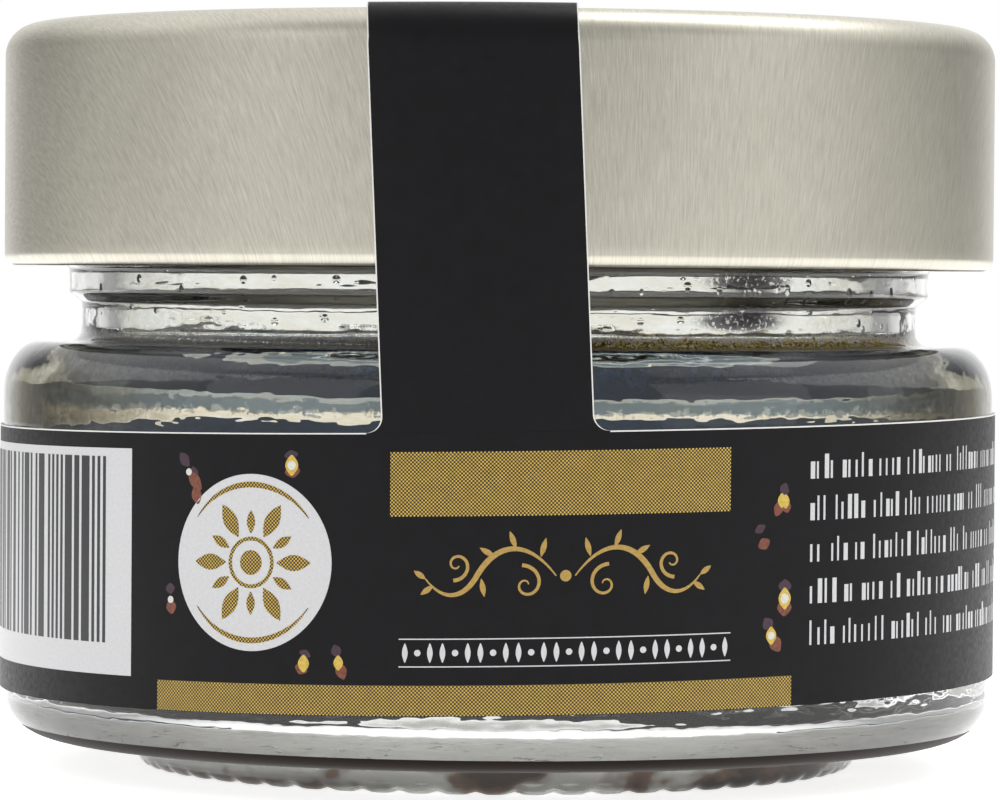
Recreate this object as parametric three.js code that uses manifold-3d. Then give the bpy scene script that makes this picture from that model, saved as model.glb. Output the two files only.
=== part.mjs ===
// A small glass preserve jar of whole black truffles, closed with a deep twist-off lid and
// sealed by one paper label that wraps the body and runs up over the lid.
// Millimetres, +Z up. The jar stands on Z = 0 with its axis on Z, and its front faces -Y.

import * as THREE from "three";
import { mergeGeometries, mergeVertices } from "three/addons/utils/BufferGeometryUtils.js";
import Module from "manifold-3d";

const wasm = await Module();
wasm.setup();

// Driving dimensions of the glass
const SEGMENTS = 60;
const BODY_RADIUS = 28.12;
const WALL = 2.0;
const FLOOR_TOP = 5.2;
const HEEL_WIDTH = 2.7;
const HEEL_TOP = 4.4;
const UNDERSIDE = 1.75;
const FOOT_RADIUS = 20.4;
const FOOT_INNER_RADIUS = 18.4;
const PUSH_UP = 3.4;
const WALL_TOP = 21.0;
const SHOULDER_TOP = 23.95;
const NECK_RADIUS = 23.75;
const COLLAR_RADIUS = 24.45;
const COLLAR_BOTTOM = 26.1;
const COLLAR_TOP = 26.8;
const FINISH_RADIUS = 25.3;
const BORE_RADIUS = 21.6;
const FINISH_BOTTOM = 28.5;
const RIM_TOP = 40.0;

// Driving dimensions of the thread and of the ribs under the foot
const THREAD_STARTS = 4;
const THREAD_RADIUS = 26.3;
const THREAD_SPAN = 70;
const THREAD_LOW = 30.4;
const THREAD_RISE = 1.6;
const RIBS = 60;
const RIB_DEPTH = 0.3;
const RIB_GROOVE = 0.9;

// Driving dimensions of the lid and its sealing ring
const LID_RADIUS = 28.1;
const LID_BOTTOM = 28.2;
const LID_TOP = 41.8;
const LID_SHEET = 0.5;
const LID_CORNER = 1.8;
const PANEL_RADIUS = 22.4;
const PANEL_STEP = 0.5;
const PANEL_SLOPE = 0.7;
const CURL_RADIUS = 0.7;
const LUG_REACH = 25.85;
const LUG_WIDTH = 9;
const SEAL_THICKNESS = 1.15;

// Driving dimensions of the label, which is one piece of paper shaped like an upside-down T
const PAPER = 0.13;
const SKIRT_CLEAR = 0.07;
const PAPER_RADIUS = LID_RADIUS + SKIRT_CLEAR;
const BAND_BOTTOM = 4.95;
const BAND_TOP = 19.7;
const BAND_END = 168;
const BAND_TURN = 1.0;
const STRIP_WIDTH = 11.1;
const STRIP_CENTRE = -0.5;
const STRIP_LEAN = 2.6;
const STRIP_FILLET = 0.85;
const STRIP_END = 9;
const TOP_CLEAR = 0.15;

// Driving dimensions of the contents
const TRUFFLE_RADII = [9.2, 8.8, 8.4];
const TRUFFLE_SQUAT = 0.64;
const TRUFFLE_TURNS = [200, 80, 320];
const TRUFFLE_OFFSET = 11.6;
const WART_GRID = 3;
const WART_HEIGHT = 0.55;
const JUICE_LEVEL = 13.4;
const POCKET_GAP = 0.75;

const SMALL_GAP = 0.05;
const radians = THREE.MathUtils.degToRad;

// Points of an arc in a profile, from one angle to another, with its two radii given apart
function arc(centreRadius, centreHeight, across, up, fromDegrees, toDegrees, steps) {
  const points = [];
  for (let step = 0; step <= steps; step += 1) {
    const angle = radians(fromDegrees + ((toDegrees - fromDegrees) * step) / steps);
    points.push([centreRadius + across * Math.cos(angle), centreHeight + up * Math.sin(angle)]);
  }
  return points;
}

// A body of revolution about Z whose first facet edge lies on the front, at -Y
function turned(profile) {
  const points = profile.map(([radius, height]) => new THREE.Vector2(radius, height));
  return new THREE.LatheGeometry(points, SEGMENTS).rotateX(Math.PI / 2);
}

// The point on a circle about Z: angle 0 is the front and positive angles turn towards +X
function onCircle(radius, angle, height) {
  return new THREE.Vector3(radius * Math.sin(angle), -radius * Math.cos(angle), height);
}

function geometryFromTriangles(points, triangles) {
  const geometry = new THREE.BufferGeometry();
  const positions = points.flatMap((point) => [point.x, point.y, point.z]);
  geometry.setAttribute("position", new THREE.Float32BufferAttribute(positions, 3));
  geometry.setIndex(triangles.flat());
  return geometry;
}

// A closed body through rings of points that all have the same count, with flat ends.
// Each ring runs counterclockwise as seen from the end of the row.
function loft(rings) {
  const count = rings[0].length;
  const triangles = [];
  for (let ring = 0; ring + 1 < rings.length; ring += 1) {
    for (let corner = 0; corner < count; corner += 1) {
      const next = (corner + 1) % count;
      const low = ring * count;
      const high = low + count;
      triangles.push([low + corner, low + next, high + next]);
      triangles.push([low + corner, high + next, high + corner]);
    }
  }
  const last = (rings.length - 1) * count;
  for (let corner = 1; corner + 1 < count; corner += 1) {
    triangles.push([0, corner + 1, corner]);
    triangles.push([last, last + corner, last + corner + 1]);
  }
  return geometryFromTriangles(rings.flat(), triangles);
}

// Boolean joins and cuts work on closed meshes with merged vertices
function solid(geometry) {
  const bare = geometry.clone();
  bare.deleteAttribute("normal");
  bare.deleteAttribute("uv");
  const merged = mergeVertices(bare, 1e-4);
  const mesh = new wasm.Mesh({
    numProp: 3,
    vertProperties: new Float32Array(merged.attributes.position.array),
    triVerts: new Uint32Array(merged.index.array),
  });
  return new wasm.Manifold(mesh);
}

function geometryOf(body) {
  const mesh = body.getMesh();
  const geometry = new THREE.BufferGeometry();
  geometry.setAttribute("position", new THREE.BufferAttribute(mesh.vertProperties, 3));
  geometry.setIndex(new THREE.BufferAttribute(mesh.triVerts, 1));
  return geometry;
}

// The glass outline: under the foot, up the outside, over the rim and down the inside
function glassProfile() {
  const heelCentre = BODY_RADIUS - HEEL_WIDTH;
  const shoulderWidth = 2.1;
  const neckFillet = 0.7;
  const inside = BODY_RADIUS - WALL;
  const insideHeel = 2.6;
  const insideTop = SHOULDER_TOP - 0.8;
  const insideCorner = 1.1;
  const insideLean = 0.2;
  const boreCorner = 0.7;
  return [
    [0, PUSH_UP],
    [9, 2.9],
    [14.5, 1.9],
    [FOOT_INNER_RADIUS - 0.6, 0.7],
    [FOOT_INNER_RADIUS, 0],
    ...arc(FOOT_RADIUS - 0.6, 0.6, 0.6, 0.6, -90, 0, 3),
    [FOOT_RADIUS, UNDERSIDE - 0.15],
    ...arc(heelCentre, HEEL_TOP, HEEL_WIDTH, HEEL_TOP - UNDERSIDE, -90, 0, 6),
    ...arc(BODY_RADIUS - shoulderWidth, WALL_TOP, shoulderWidth, SHOULDER_TOP - WALL_TOP, 0, 90, 5),
    ...arc(NECK_RADIUS + neckFillet, SHOULDER_TOP + neckFillet, neckFillet, neckFillet, -90, -180, 3),
    [NECK_RADIUS, COLLAR_BOTTOM],
    [(NECK_RADIUS + COLLAR_RADIUS) / 2, (COLLAR_BOTTOM + COLLAR_TOP) / 2],
    [COLLAR_RADIUS, COLLAR_TOP],
    [COLLAR_RADIUS, FINISH_BOTTOM - 0.5],
    [FINISH_RADIUS, FINISH_BOTTOM],
    ...arc(FINISH_RADIUS - 0.8, RIM_TOP - 0.8, 0.8, 0.8, 0, 90, 2),
    ...arc(BORE_RADIUS + 0.8, RIM_TOP - 0.8, 0.8, 0.8, 90, 180, 2),
    ...arc(BORE_RADIUS + boreCorner, insideTop + boreCorner, boreCorner, boreCorner, 180, 270, 2),
    ...arc(inside - insideLean - insideCorner, insideTop - insideCorner, insideCorner, insideCorner, 90, 0, 3),
    [inside, insideTop - 5],
    ...arc(inside - insideHeel, FLOOR_TOP + insideHeel, insideHeel, insideHeel, 0, -90, 4),
    [0, FLOOR_TOP - 0.3],
  ];
}

// One thread ridge: a tapered, slowly rising bar whose root is sunk in the finish
function threadRidge(start) {
  const steps = 8;
  const root = FINISH_RADIUS - 0.4;
  const rings = [];
  for (let step = 0; step <= steps; step += 1) {
    const along = step / steps;
    const angle = radians(start + THREAD_SPAN * along);
    const height = THREAD_LOW + THREAD_RISE * along;
    const fullness = 0.25 + 0.75 * Math.sin(Math.PI * along) ** 0.5;
    const crest = root + (THREAD_RADIUS - root) * fullness;
    rings.push([
      onCircle(root, angle, height + 1.0 * fullness),
      onCircle(crest, angle, height + 0.3 * fullness),
      onCircle(crest, angle, height - 0.3 * fullness),
      onCircle(root, angle, height - 1.0 * fullness),
    ]);
  }
  return loft(rings);
}

// One V-shaped groove across the bearing ring: what stays between two grooves is a rib
function ribGroove(index) {
  const middle = (2 * Math.PI * (index + 0.5)) / RIBS;
  const rings = [FOOT_RADIUS + 1, FOOT_INNER_RADIUS - 1].map((radius) => {
    const half = RIB_GROOVE / (2 * FOOT_RADIUS);
    const below = -RIB_DEPTH;
    return [
      onCircle(radius, middle - 2 * half, below),
      onCircle(radius, middle, RIB_DEPTH),
      onCircle(radius, middle + 2 * half, below),
    ];
  });
  return loft(rings);
}

function makeJar() {
  let glass = solid(turned(glassProfile()));
  for (let index = 0; index < THREAD_STARTS; index += 1) {
    glass = glass.add(solid(threadRidge((360 / THREAD_STARTS) * index + 12)));
  }
  const grooves = [];
  for (let index = 0; index < RIBS; index += 1) {
    grooves.push(ribGroove(index));
  }
  return geometryOf(glass.subtract(solid(mergeGeometries(grooves))));
}

// One lug: a short tab bent inwards from the rolled edge of the lid, below the thread
function lug(turn) {
  const outer = LID_RADIUS - CURL_RADIUS;
  const low = LID_BOTTOM + 0.25;
  const high = LID_BOTTOM + 0.95;
  const steps = 3;
  const rings = [];
  for (let step = 0; step <= steps; step += 1) {
    const angle = radians(turn) + (LUG_WIDTH / LID_RADIUS) * (step / steps - 0.5);
    rings.push([
      onCircle(LUG_REACH, angle, high),
      onCircle(outer, angle, high),
      onCircle(outer, angle, low),
      onCircle(LUG_REACH, angle, low),
    ]);
  }
  return loft(rings);
}

// The lid: one drawn sheet with a stepped top, a rounded corner, a skirt and a rolled edge
function makeLid() {
  const insideRadius = LID_RADIUS - LID_SHEET;
  const curlCentre = LID_RADIUS - CURL_RADIUS;
  const curlHeight = LID_BOTTOM + CURL_RADIUS;
  const insideCorner = LID_CORNER - LID_SHEET;
  const ceiling = LID_TOP - LID_SHEET;
  const profile = [
    [0, ceiling - PANEL_STEP],
    [PANEL_RADIUS, ceiling - PANEL_STEP],
    [PANEL_RADIUS + PANEL_SLOPE, ceiling],
    ...arc(insideRadius - insideCorner, ceiling - insideCorner, insideCorner, insideCorner, 90, 0, 4),
    [insideRadius, curlHeight + 1.1],
    ...arc(curlCentre, curlHeight, CURL_RADIUS, CURL_RADIUS, 110, 360, 8),
    ...arc(LID_RADIUS - LID_CORNER, LID_TOP - LID_CORNER, LID_CORNER, LID_CORNER, 0, 90, 5),
    [PANEL_RADIUS + PANEL_SLOPE, LID_TOP],
    [PANEL_RADIUS, LID_TOP - PANEL_STEP],
    [0, LID_TOP - PANEL_STEP],
  ];
  let shell = solid(turned(profile));
  for (let index = 0; index < THREAD_STARTS; index += 1) {
    shell = shell.add(solid(lug((360 / THREAD_STARTS) * index + 40)));
  }
  return geometryOf(shell);
}

// The sealing ring: soft compound in the lid's channel, just above the rim of the glass
function makeSeal() {
  const inner = PANEL_RADIUS + PANEL_SLOPE + SMALL_GAP;
  const outer = LID_RADIUS - LID_CORNER;
  const top = LID_TOP - LID_SHEET - SMALL_GAP;
  const bottom = top - SEAL_THICKNESS;
  return turned([
    [inner, bottom],
    [outer, bottom],
    [outer, top],
    [inner, top],
    [inner, bottom],
  ]);
}

// The height of the lid's top at a radius, which the strip follows at a small distance
function lidTopAt(radius) {
  const rise = THREE.MathUtils.clamp((radius - PANEL_RADIUS) / PANEL_SLOPE, 0, 1);
  return LID_TOP - PANEL_STEP + PANEL_STEP * rise;
}

// The strip's route in side view: stations run up the skirt, round the corner and inwards
function stripStations() {
  const cornerRadius = LID_RADIUS - LID_CORNER;
  const cornerHeight = LID_TOP - LID_CORNER;
  const stations = [];
  for (const rise of [0.05, 0.2, 0.45, 1]) {
    stations.push({ kind: "skirt", height: BAND_TOP + STRIP_FILLET * rise });
  }
  for (const share of [0.3, 0.65, 1]) {
    stations.push({ kind: "skirt", height: THREE.MathUtils.lerp(BAND_TOP + 1, cornerHeight, share) });
  }
  const corner = arc(cornerRadius, cornerHeight, LID_CORNER, LID_CORNER, 15, 90, 5);
  corner.forEach(([radius, height], step) => {
    const clear = THREE.MathUtils.lerp(SKIRT_CLEAR, TOP_CLEAR, (step + 1) / corner.length);
    stations.push({ kind: "corner", radius, height, clear });
  });
  const panelEdge = PANEL_RADIUS - PANEL_SLOPE;
  for (const radius of [PANEL_RADIUS + 2 * PANEL_SLOPE, PANEL_RADIUS + PANEL_SLOPE + 0.2, panelEdge]) {
    stations.push({ kind: "top", radius, height: lidTopAt(radius) + TOP_CLEAR });
  }
  for (const share of [0.33, 0.67, 1]) {
    const radius = THREE.MathUtils.lerp(panelEdge, STRIP_END, share);
    stations.push({ kind: "top", radius, height: lidTopAt(radius) + TOP_CLEAR });
  }
  return stations;
}

// A point of the strip at a station, a distance sideways along the paper, on its inner or outer face
function stripPoint(station, sideways, lift) {
  const rise = Math.min(station.height, LID_TOP) - BAND_TOP;
  const across = STRIP_CENTRE + sideways - Math.tan(radians(STRIP_LEAN)) * rise;
  if (station.kind === "skirt") {
    return onCircle(PAPER_RADIUS + lift, across / PAPER_RADIUS, station.height);
  }
  const x = PAPER_RADIUS * Math.sin(across / PAPER_RADIUS);
  if (station.kind === "corner") {
    const outward = new THREE.Vector2(
      station.radius - (LID_RADIUS - LID_CORNER),
      station.height - (LID_TOP - LID_CORNER),
    ).normalize().multiplyScalar(station.clear + lift);
    const radius = station.radius + outward.x;
    return new THREE.Vector3(x, -Math.sqrt(radius ** 2 - x ** 2), station.height + outward.y);
  }
  const ring = Math.max(station.radius, PANEL_RADIUS - PANEL_SLOPE);
  const y = ring - station.radius - Math.sqrt(ring ** 2 - x ** 2);
  return new THREE.Vector3(x, y, station.height + lift);
}

// The label: a sheet of quads with an outer and an inner face and a wall along its free edges
function makeLabel() {
  const halfStrip = STRIP_WIDTH / 2;
  const junction = halfStrip + STRIP_FILLET;
  const stripColumns = [-1, -0.93, -0.6, -0.2, 0.2, 0.6, 0.93, 1];
  const facet = 360 / SEGMENTS;
  const bandAngles = [];
  for (let degrees = -BAND_END; degrees <= BAND_END; degrees += facet) {
    bandAngles.push(radians(degrees));
  }
  const stripAngles = stripColumns.map((share) => (STRIP_CENTRE + share * junction) / PAPER_RADIUS);
  const first = stripAngles[0];
  const last = stripAngles[stripAngles.length - 1];
  const left = bandAngles.filter((angle) => angle < first - 0.02);
  const right = bandAngles.filter((angle) => angle > last + 0.02);
  const columns = [...left, ...stripAngles, ...right];
  const climb = Math.tan(radians(BAND_TURN)) * PAPER_RADIUS;
  const rows = [BAND_BOTTOM, BAND_TOP].map((height) =>
    columns.map((angle) => [0, PAPER].map((lift) => onCircle(PAPER_RADIUS + lift, angle, height + climb * Math.sin(angle)))),
  );
  const stations = stripStations();
  const stripRows = stations.map((station) => {
    const rise = Math.min(station.height - BAND_TOP, STRIP_FILLET);
    const hollow = STRIP_FILLET - Math.sqrt(STRIP_FILLET ** 2 - (STRIP_FILLET - rise) ** 2);
    const half = halfStrip + hollow;
    return stripColumns.map((share) => [0, PAPER].map((lift) => {
      const point = stripPoint(station, share * half, lift);
      if (station.kind === "skirt") {
        const turn = point.x / Math.hypot(point.x, point.y);
        const fade = THREE.MathUtils.clamp(1 - (station.height - BAND_TOP) / 8, 0, 1);
        point.z += climb * turn * fade;
      }
      return point;
    }));
  });
  return sheet(rows, stripRows, left.length);
}

// Joins a band of quads and a narrower strip of quads on top of it into one closed body
function sheet(rows, stripRows, offset) {
  const points = [];
  const index = (grid) => grid.map((row) => row.map((pair) => pair.map((point) => points.push(point) - 1)));
  const band = index(rows);
  const strip = index(stripRows);
  const width = stripRows[0].length;
  const junctionRow = band[1].slice(offset, offset + width);
  const grids = [band, [junctionRow, ...strip]];
  const triangles = [];
  const edges = new Map();
  const addQuad = (a, b, c, d) => {
    triangles.push([a[1], b[1], c[1]], [a[1], c[1], d[1]]);
    triangles.push([a[0], c[0], b[0]], [a[0], d[0], c[0]]);
    for (const [from, to] of [[a, b], [b, c], [c, d], [d, a]]) {
      const opposite = `${to[1]},${from[1]}`;
      if (edges.has(opposite)) {
        edges.delete(opposite);
      } else {
        edges.set(`${from[1]},${to[1]}`, [from, to]);
      }
    }
  };
  for (const grid of grids) {
    for (let row = 0; row + 1 < grid.length; row += 1) {
      for (let column = 0; column + 1 < grid[row].length; column += 1) {
        const above = grid[row + 1];
        addQuad(grid[row][column], grid[row][column + 1], above[column + 1], above[column]);
      }
    }
  }
  for (const [from, to] of edges.values()) {
    triangles.push([from[1], from[0], to[0]], [from[1], to[0], to[1]]);
  }
  return geometryFromTriangles(points, triangles);
}

// A repeatable number between -1 and 1 for a place, so that every build gives the same truffles
function roughness(place, seed) {
  const wave = Math.sin(place * 12.9898 + seed * 78.233) * 43758.5453;
  return (wave - Math.floor(wave)) * 2 - 1;
}

// Low, broad lobes that keep the truffle from being a ball
function lobes(direction, seed) {
  const { x, y, z } = direction;
  const broad = Math.sin(2.3 * x + seed) * Math.cos(2.1 * y - seed) + 0.6 * Math.sin(2.7 * z + 2 * seed);
  return 1 + 0.055 * broad;
}

// A flattened truffle: every grid point of a sphere is the blunt tip of a many-sided wart, and
// the middle of every grid triangle is a low point between three warts
function makeTruffle(radius, seed) {
  const ball = new THREE.IcosahedronGeometry(1, WART_GRID);
  ball.deleteAttribute("normal");
  ball.deleteAttribute("uv");
  const grid = mergeVertices(ball, 1e-4);
  const position = grid.attributes.position;
  const tips = [];
  for (let index = 0; index < position.count; index += 1) {
    const tip = new THREE.Vector3().fromBufferAttribute(position, index);
    const shift = new THREE.Vector3(roughness(index, seed), roughness(index, seed + 1), roughness(index, seed + 2));
    tips.push(tip.addScaledVector(shift, 0.035).normalize());
  }
  const faces = [];
  for (let corner = 0; corner < grid.index.count; corner += 3) {
    faces.push([grid.index.getX(corner), grid.index.getX(corner + 1), grid.index.getX(corner + 2)]);
  }
  const points = tips.map((tip, index) => {
    const height = WART_HEIGHT * (1 + 0.35 * roughness(index, seed + 3));
    return tip.clone().multiplyScalar(radius * lobes(tip, seed) + height);
  });
  const faceOfEdge = new Map();
  faces.forEach(([a, b, c], face) => {
    const low = new THREE.Vector3().add(tips[a]).add(tips[b]).add(tips[c]).normalize();
    points.push(low.multiplyScalar(radius * lobes(low, seed) - WART_HEIGHT));
    for (const edge of [[a, b], [b, c], [c, a]]) {
      faceOfEdge.set(edge.join(), tips.length + face);
    }
  });
  const triangles = [];
  for (const [edge, low] of faceOfEdge) {
    const [from, to] = edge.split(",").map(Number);
    const across = faceOfEdge.get(`${to},${from}`);
    triangles.push([from, across, low]);
  }
  return geometryFromTriangles(points, triangles).scale(1, 1, TRUFFLE_SQUAT);
}

// The truffles lie side by side on the floor of the jar
function layTruffles() {
  return TRUFFLE_RADII.map((radius, index) => {
    const geometry = makeTruffle(radius, index + 1);
    geometry.computeBoundingBox();
    const height = FLOOR_TOP + SMALL_GAP - geometry.boundingBox.min.z;
    return { radius, geometry, place: onCircle(TRUFFLE_OFFSET, radians(TRUFFLE_TURNS[index]), height) };
  });
}

// The cooking juice fills the jar round the lower halves of the truffles
function makeJuice(truffles) {
  const radius = BODY_RADIUS - WALL - SMALL_GAP;
  const heel = 2.6;
  let juice = solid(turned([
    [0, FLOOR_TOP - 0.3 + SMALL_GAP],
    ...arc(radius - heel, FLOOR_TOP + SMALL_GAP + heel, heel, heel, -90, 0, 4),
    [radius, JUICE_LEVEL],
    [0, JUICE_LEVEL],
  ]));
  for (const { radius, place } of truffles) {
    const pocket = new THREE.IcosahedronGeometry(radius * 1.08 + POCKET_GAP, 3);
    pocket.scale(1, 1, TRUFFLE_SQUAT).translate(place.x, place.y, place.z);
    juice = juice.subtract(solid(pocket));
  }
  return geometryOf(juice);
}

const materials = {
  glass: new THREE.MeshStandardMaterial({ color: 0xdfe6e2, roughness: 0.06, metalness: 0 }),
  tinplate: new THREE.MeshStandardMaterial({ color: 0xb9b4a4, roughness: 0.38, metalness: 1 }),
  compound: new THREE.MeshStandardMaterial({ color: 0xd8d2c4, roughness: 0.7, metalness: 0 }),
  paper: new THREE.MeshStandardMaterial({ color: 0x1c1c20, roughness: 0.45, metalness: 0 }),
  truffle: new THREE.MeshStandardMaterial({ color: 0x1d1512, roughness: 0.8, metalness: 0 }),
  juice: new THREE.MeshStandardMaterial({ color: 0x3a2110, roughness: 0.08, metalness: 0 }),
};

function named(name, geometry, material) {
  const mesh = new THREE.Mesh(geometry, material);
  mesh.name = name;
  return mesh;
}

const object = new THREE.Group();
object.add(named("jar", makeJar(), materials.glass));
object.add(named("lid", makeLid(), materials.tinplate));
object.add(named("sealing_ring", makeSeal(), materials.compound));
object.add(named("label", makeLabel(), materials.paper));
const truffles = layTruffles();
truffles.forEach(({ geometry, place }, index) => {
  const truffle = named(`truffle_${index + 1}`, geometry, materials.truffle);
  truffle.position.copy(place);
  object.add(truffle);
});
object.add(named("juice", makeJuice(truffles), materials.juice));

export default object;
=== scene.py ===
"""A sealed glass jar of whole black truffles: brushed twist-off lid, T-shaped paper label, juice."""

import math
import random

import bmesh
import bpy
from mathutils import Matrix, Vector, noise


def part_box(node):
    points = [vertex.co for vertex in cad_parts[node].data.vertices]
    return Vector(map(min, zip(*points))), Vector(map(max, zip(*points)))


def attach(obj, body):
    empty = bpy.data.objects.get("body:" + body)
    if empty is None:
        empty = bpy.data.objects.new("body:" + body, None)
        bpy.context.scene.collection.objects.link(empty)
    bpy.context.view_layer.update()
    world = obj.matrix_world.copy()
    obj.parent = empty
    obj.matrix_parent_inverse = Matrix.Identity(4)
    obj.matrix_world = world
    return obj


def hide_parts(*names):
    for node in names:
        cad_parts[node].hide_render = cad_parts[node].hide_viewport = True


MM = 0.001
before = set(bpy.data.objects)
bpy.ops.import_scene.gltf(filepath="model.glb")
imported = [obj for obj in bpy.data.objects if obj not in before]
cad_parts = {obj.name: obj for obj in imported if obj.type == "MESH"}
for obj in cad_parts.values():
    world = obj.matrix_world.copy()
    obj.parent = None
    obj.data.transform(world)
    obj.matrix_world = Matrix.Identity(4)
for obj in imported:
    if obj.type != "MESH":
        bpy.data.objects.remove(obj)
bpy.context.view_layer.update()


def box_mm(node):
    low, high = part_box(node)
    return low / MM, high / MM


# Sizes read from the frame, in millimetres as all lengths below
jar_low, jar_high = box_mm("jar")
lid_low, lid_high = box_mm("lid")
label_low, label_high = box_mm("label")
juice_low, juice_high = box_mm("juice")
seal_low, seal_high = box_mm("sealing_ring")
BODY_RADIUS = jar_high.x
RIM_TOP = jar_high.z
LID_RADIUS = lid_high.x
LID_BOTTOM = lid_low.z
LID_TOP = lid_high.z
LABEL_RADIUS = label_high.x

# The glass outline
WALL = 2.0
FLOOR_TOP = 5.2
HEEL_WIDTH = 2.7
HEEL_TOP = 4.4
UNDERSIDE = 1.75
FOOT_RADIUS = 20.4
FOOT_INNER_RADIUS = 18.4
PUSH_UP = 3.4
WALL_TOP = 21.0
SHOULDER_TOP = 23.95
NECK_RADIUS = 23.75
COLLAR_RADIUS = 24.45
COLLAR_BOTTOM = 26.1
COLLAR_TOP = 26.8
FINISH_RADIUS = 25.3
BORE_RADIUS = 21.6
RIBS = 60
RIB_DEPTH = 0.16
THREAD_STARTS = 4
THREAD_RADIUS = 26.3
THREAD_SPAN = math.radians(70)
THREAD_PHASE = math.radians(12)
THREAD_LOW = 30.4
THREAD_RISE = 1.6

# The lid's sheet
LID_SHEET = 0.5
LID_CORNER = 1.8
PANEL_RADIUS = 22.4
PANEL_STEP = 0.5
PANEL_SLOPE = 0.7
CURL_RADIUS = 0.7

# The label's paper, with the heights of its band and the place and lean of its strip
PAPER = 0.13
PAPER_RADIUS = LABEL_RADIUS - PAPER
BAND_BOTTOM = 4.95
BAND_TOP = 19.7
BAND_HEIGHT = BAND_TOP - BAND_BOTTOM
BAND_END = math.radians(168)
BAND_CLIMB = math.tan(math.radians(1.0)) * PAPER_RADIUS
STRIP_HALF = 5.55
STRIP_CENTRE = -0.5
STRIP_LEAN = math.tan(math.radians(2.6))
STRIP_FILLET = 0.85
STRIP_END = 9
TOP_CLEAR = 0.15
WHITE_MARGIN = 0.07
FILM = 0.02


def arc(centre_radius, centre_height, across, up, start, stop, steps):
    """Points of an arc in a profile, its angles in degrees, with its two radii given apart."""
    points = []
    for step in range(steps + 1):
        angle = math.radians(start + (stop - start) * step / steps)
        points.append((centre_radius + across * math.cos(angle), centre_height + up * math.sin(angle)))
    return points


def line(start, stop, steps):
    """Points from start towards stop, without the last one."""
    return [
        (start[0] + (stop[0] - start[0]) * step / steps, start[1] + (stop[1] - start[1]) * step / steps)
        for step in range(steps)
    ]


def s_curve(low_radius, low, high_radius, high, steps):
    """A smooth change of radius in a profile."""
    shares = [step / steps for step in range(steps + 1)]
    return [(low_radius + (high_radius - low_radius) * ease(share), low + (high - low) * share) for share in shares]


def on_circle(radius, angle, height):
    """Angle 0 is the front, at -Y, and positive angles turn towards +X."""
    return (radius * math.sin(angle), -radius * math.cos(angle), height)


def ease(value):
    """A smooth step from 0 to 1."""
    value = max(0.0, min(1.0, value))
    return value * value * (3 - 2 * value)


def make_piece(name, points, faces, materials, face_slots=None, uvs=None, stands_for=()):
    """Makes an object of points in millimetres, smooth but for edges sharper than 35 degrees."""
    mesh = bpy.data.meshes.new(name)
    mesh.from_pydata([Vector(point) * MM for point in points], [], faces)
    for material in materials:
        mesh.materials.append(material)
    if face_slots:
        mesh.polygons.foreach_set("material_index", face_slots)
    if uvs:
        layer = mesh.uv_layers.new(name="sheet")
        flat = [value for loop in mesh.loops for value in uvs[loop.vertex_index]]
        layer.data.foreach_set("uv", flat)
    mesh.polygons.foreach_set("use_smooth", [True] * len(mesh.polygons))
    mesh.set_sharp_from_angle(angle=math.radians(35))
    mesh.update()
    piece = bpy.data.objects.new(name, mesh)
    bpy.context.scene.collection.objects.link(piece)
    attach(piece, "root")
    if stands_for:
        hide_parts(*stands_for)
    return piece


def revolve(profile, segments, shape=None):
    """Points and faces of a body about Z. shape moves a point, given its radius, height and angle."""
    points = []
    rows = []
    for radius, height in profile:
        if radius < 1e-6:
            rows.append([len(points)] * segments)
            points.append((0, 0, height))
            continue
        rows.append(list(range(len(points), len(points) + segments)))
        for step in range(segments):
            angle = 2 * math.pi * step / segments
            moved = shape(radius, height, angle) if shape else (radius, height)
            points.append(on_circle(moved[0], angle, moved[1]))
    faces = []
    for low, high in zip(rows, rows[1:]):
        for step in range(segments):
            after = (step + 1) % segments
            corners = [low[step], low[after], high[after], high[step]]
            faces.append(list(dict.fromkeys(corners)))
    return points, faces


# Materials


def new_material(name):
    material = bpy.data.materials.new(name)
    material.use_nodes = True
    return material, material.node_tree, material.node_tree.nodes["Principled BSDF"]


def add_node(tree, kind, links=None, **settings):
    """Adds a node; links maps input names to a value or to the socket that feeds it."""
    node = tree.nodes.new(kind)
    for name, value in settings.items():
        setattr(node, name, value)
    for name, value in (links or {}).items():
        if isinstance(value, bpy.types.NodeSocket):
            tree.links.new(value, node.inputs[name])
        else:
            node.inputs[name].default_value = value
    return node


def ramp(tree, feed, stops, interpolation="LINEAR"):
    """A colour ramp through stops of (position, colour)."""
    node = add_node(tree, "ShaderNodeValToRGB", {"Fac": feed})
    elements = node.color_ramp.elements
    node.color_ramp.interpolation = interpolation
    while len(elements) < len(stops):
        elements.new(0.5)
    for element, (position, colour) in zip(elements, stops):
        element.position = position
        element.color = (*colour, 1) if len(colour) == 3 else colour
    return node.outputs["Color"]


def grey(value):
    return (value, value, value)


def object_position(tree, scale=(1, 1, 1)):
    """Positions in millimetres, each axis times its scale."""
    coordinates = add_node(tree, "ShaderNodeTexCoord")
    mapping = add_node(
        tree,
        "ShaderNodeMapping",
        {"Vector": coordinates.outputs["Object"], "Scale": [part / MM for part in scale]},
    )
    return mapping.outputs["Vector"]


def sheet_position(tree, scale=(1, 1, 1), turn=0):
    """Places on a sheet in millimetres, from its UV map."""
    coordinates = add_node(tree, "ShaderNodeUVMap", uv_map="sheet")
    mapping = add_node(
        tree,
        "ShaderNodeMapping",
        {"Vector": coordinates.outputs["UV"], "Rotation": (0, 0, turn), "Scale": scale},
    )
    return mapping.outputs["Vector"]


def noise_value(tree, vector, scale, detail=2.0, roughness=0.5):
    node = add_node(
        tree,
        "ShaderNodeTexNoise",
        {"Vector": vector, "Scale": scale, "Detail": detail, "Roughness": roughness},
    )
    return node.outputs["Fac"]


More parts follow.
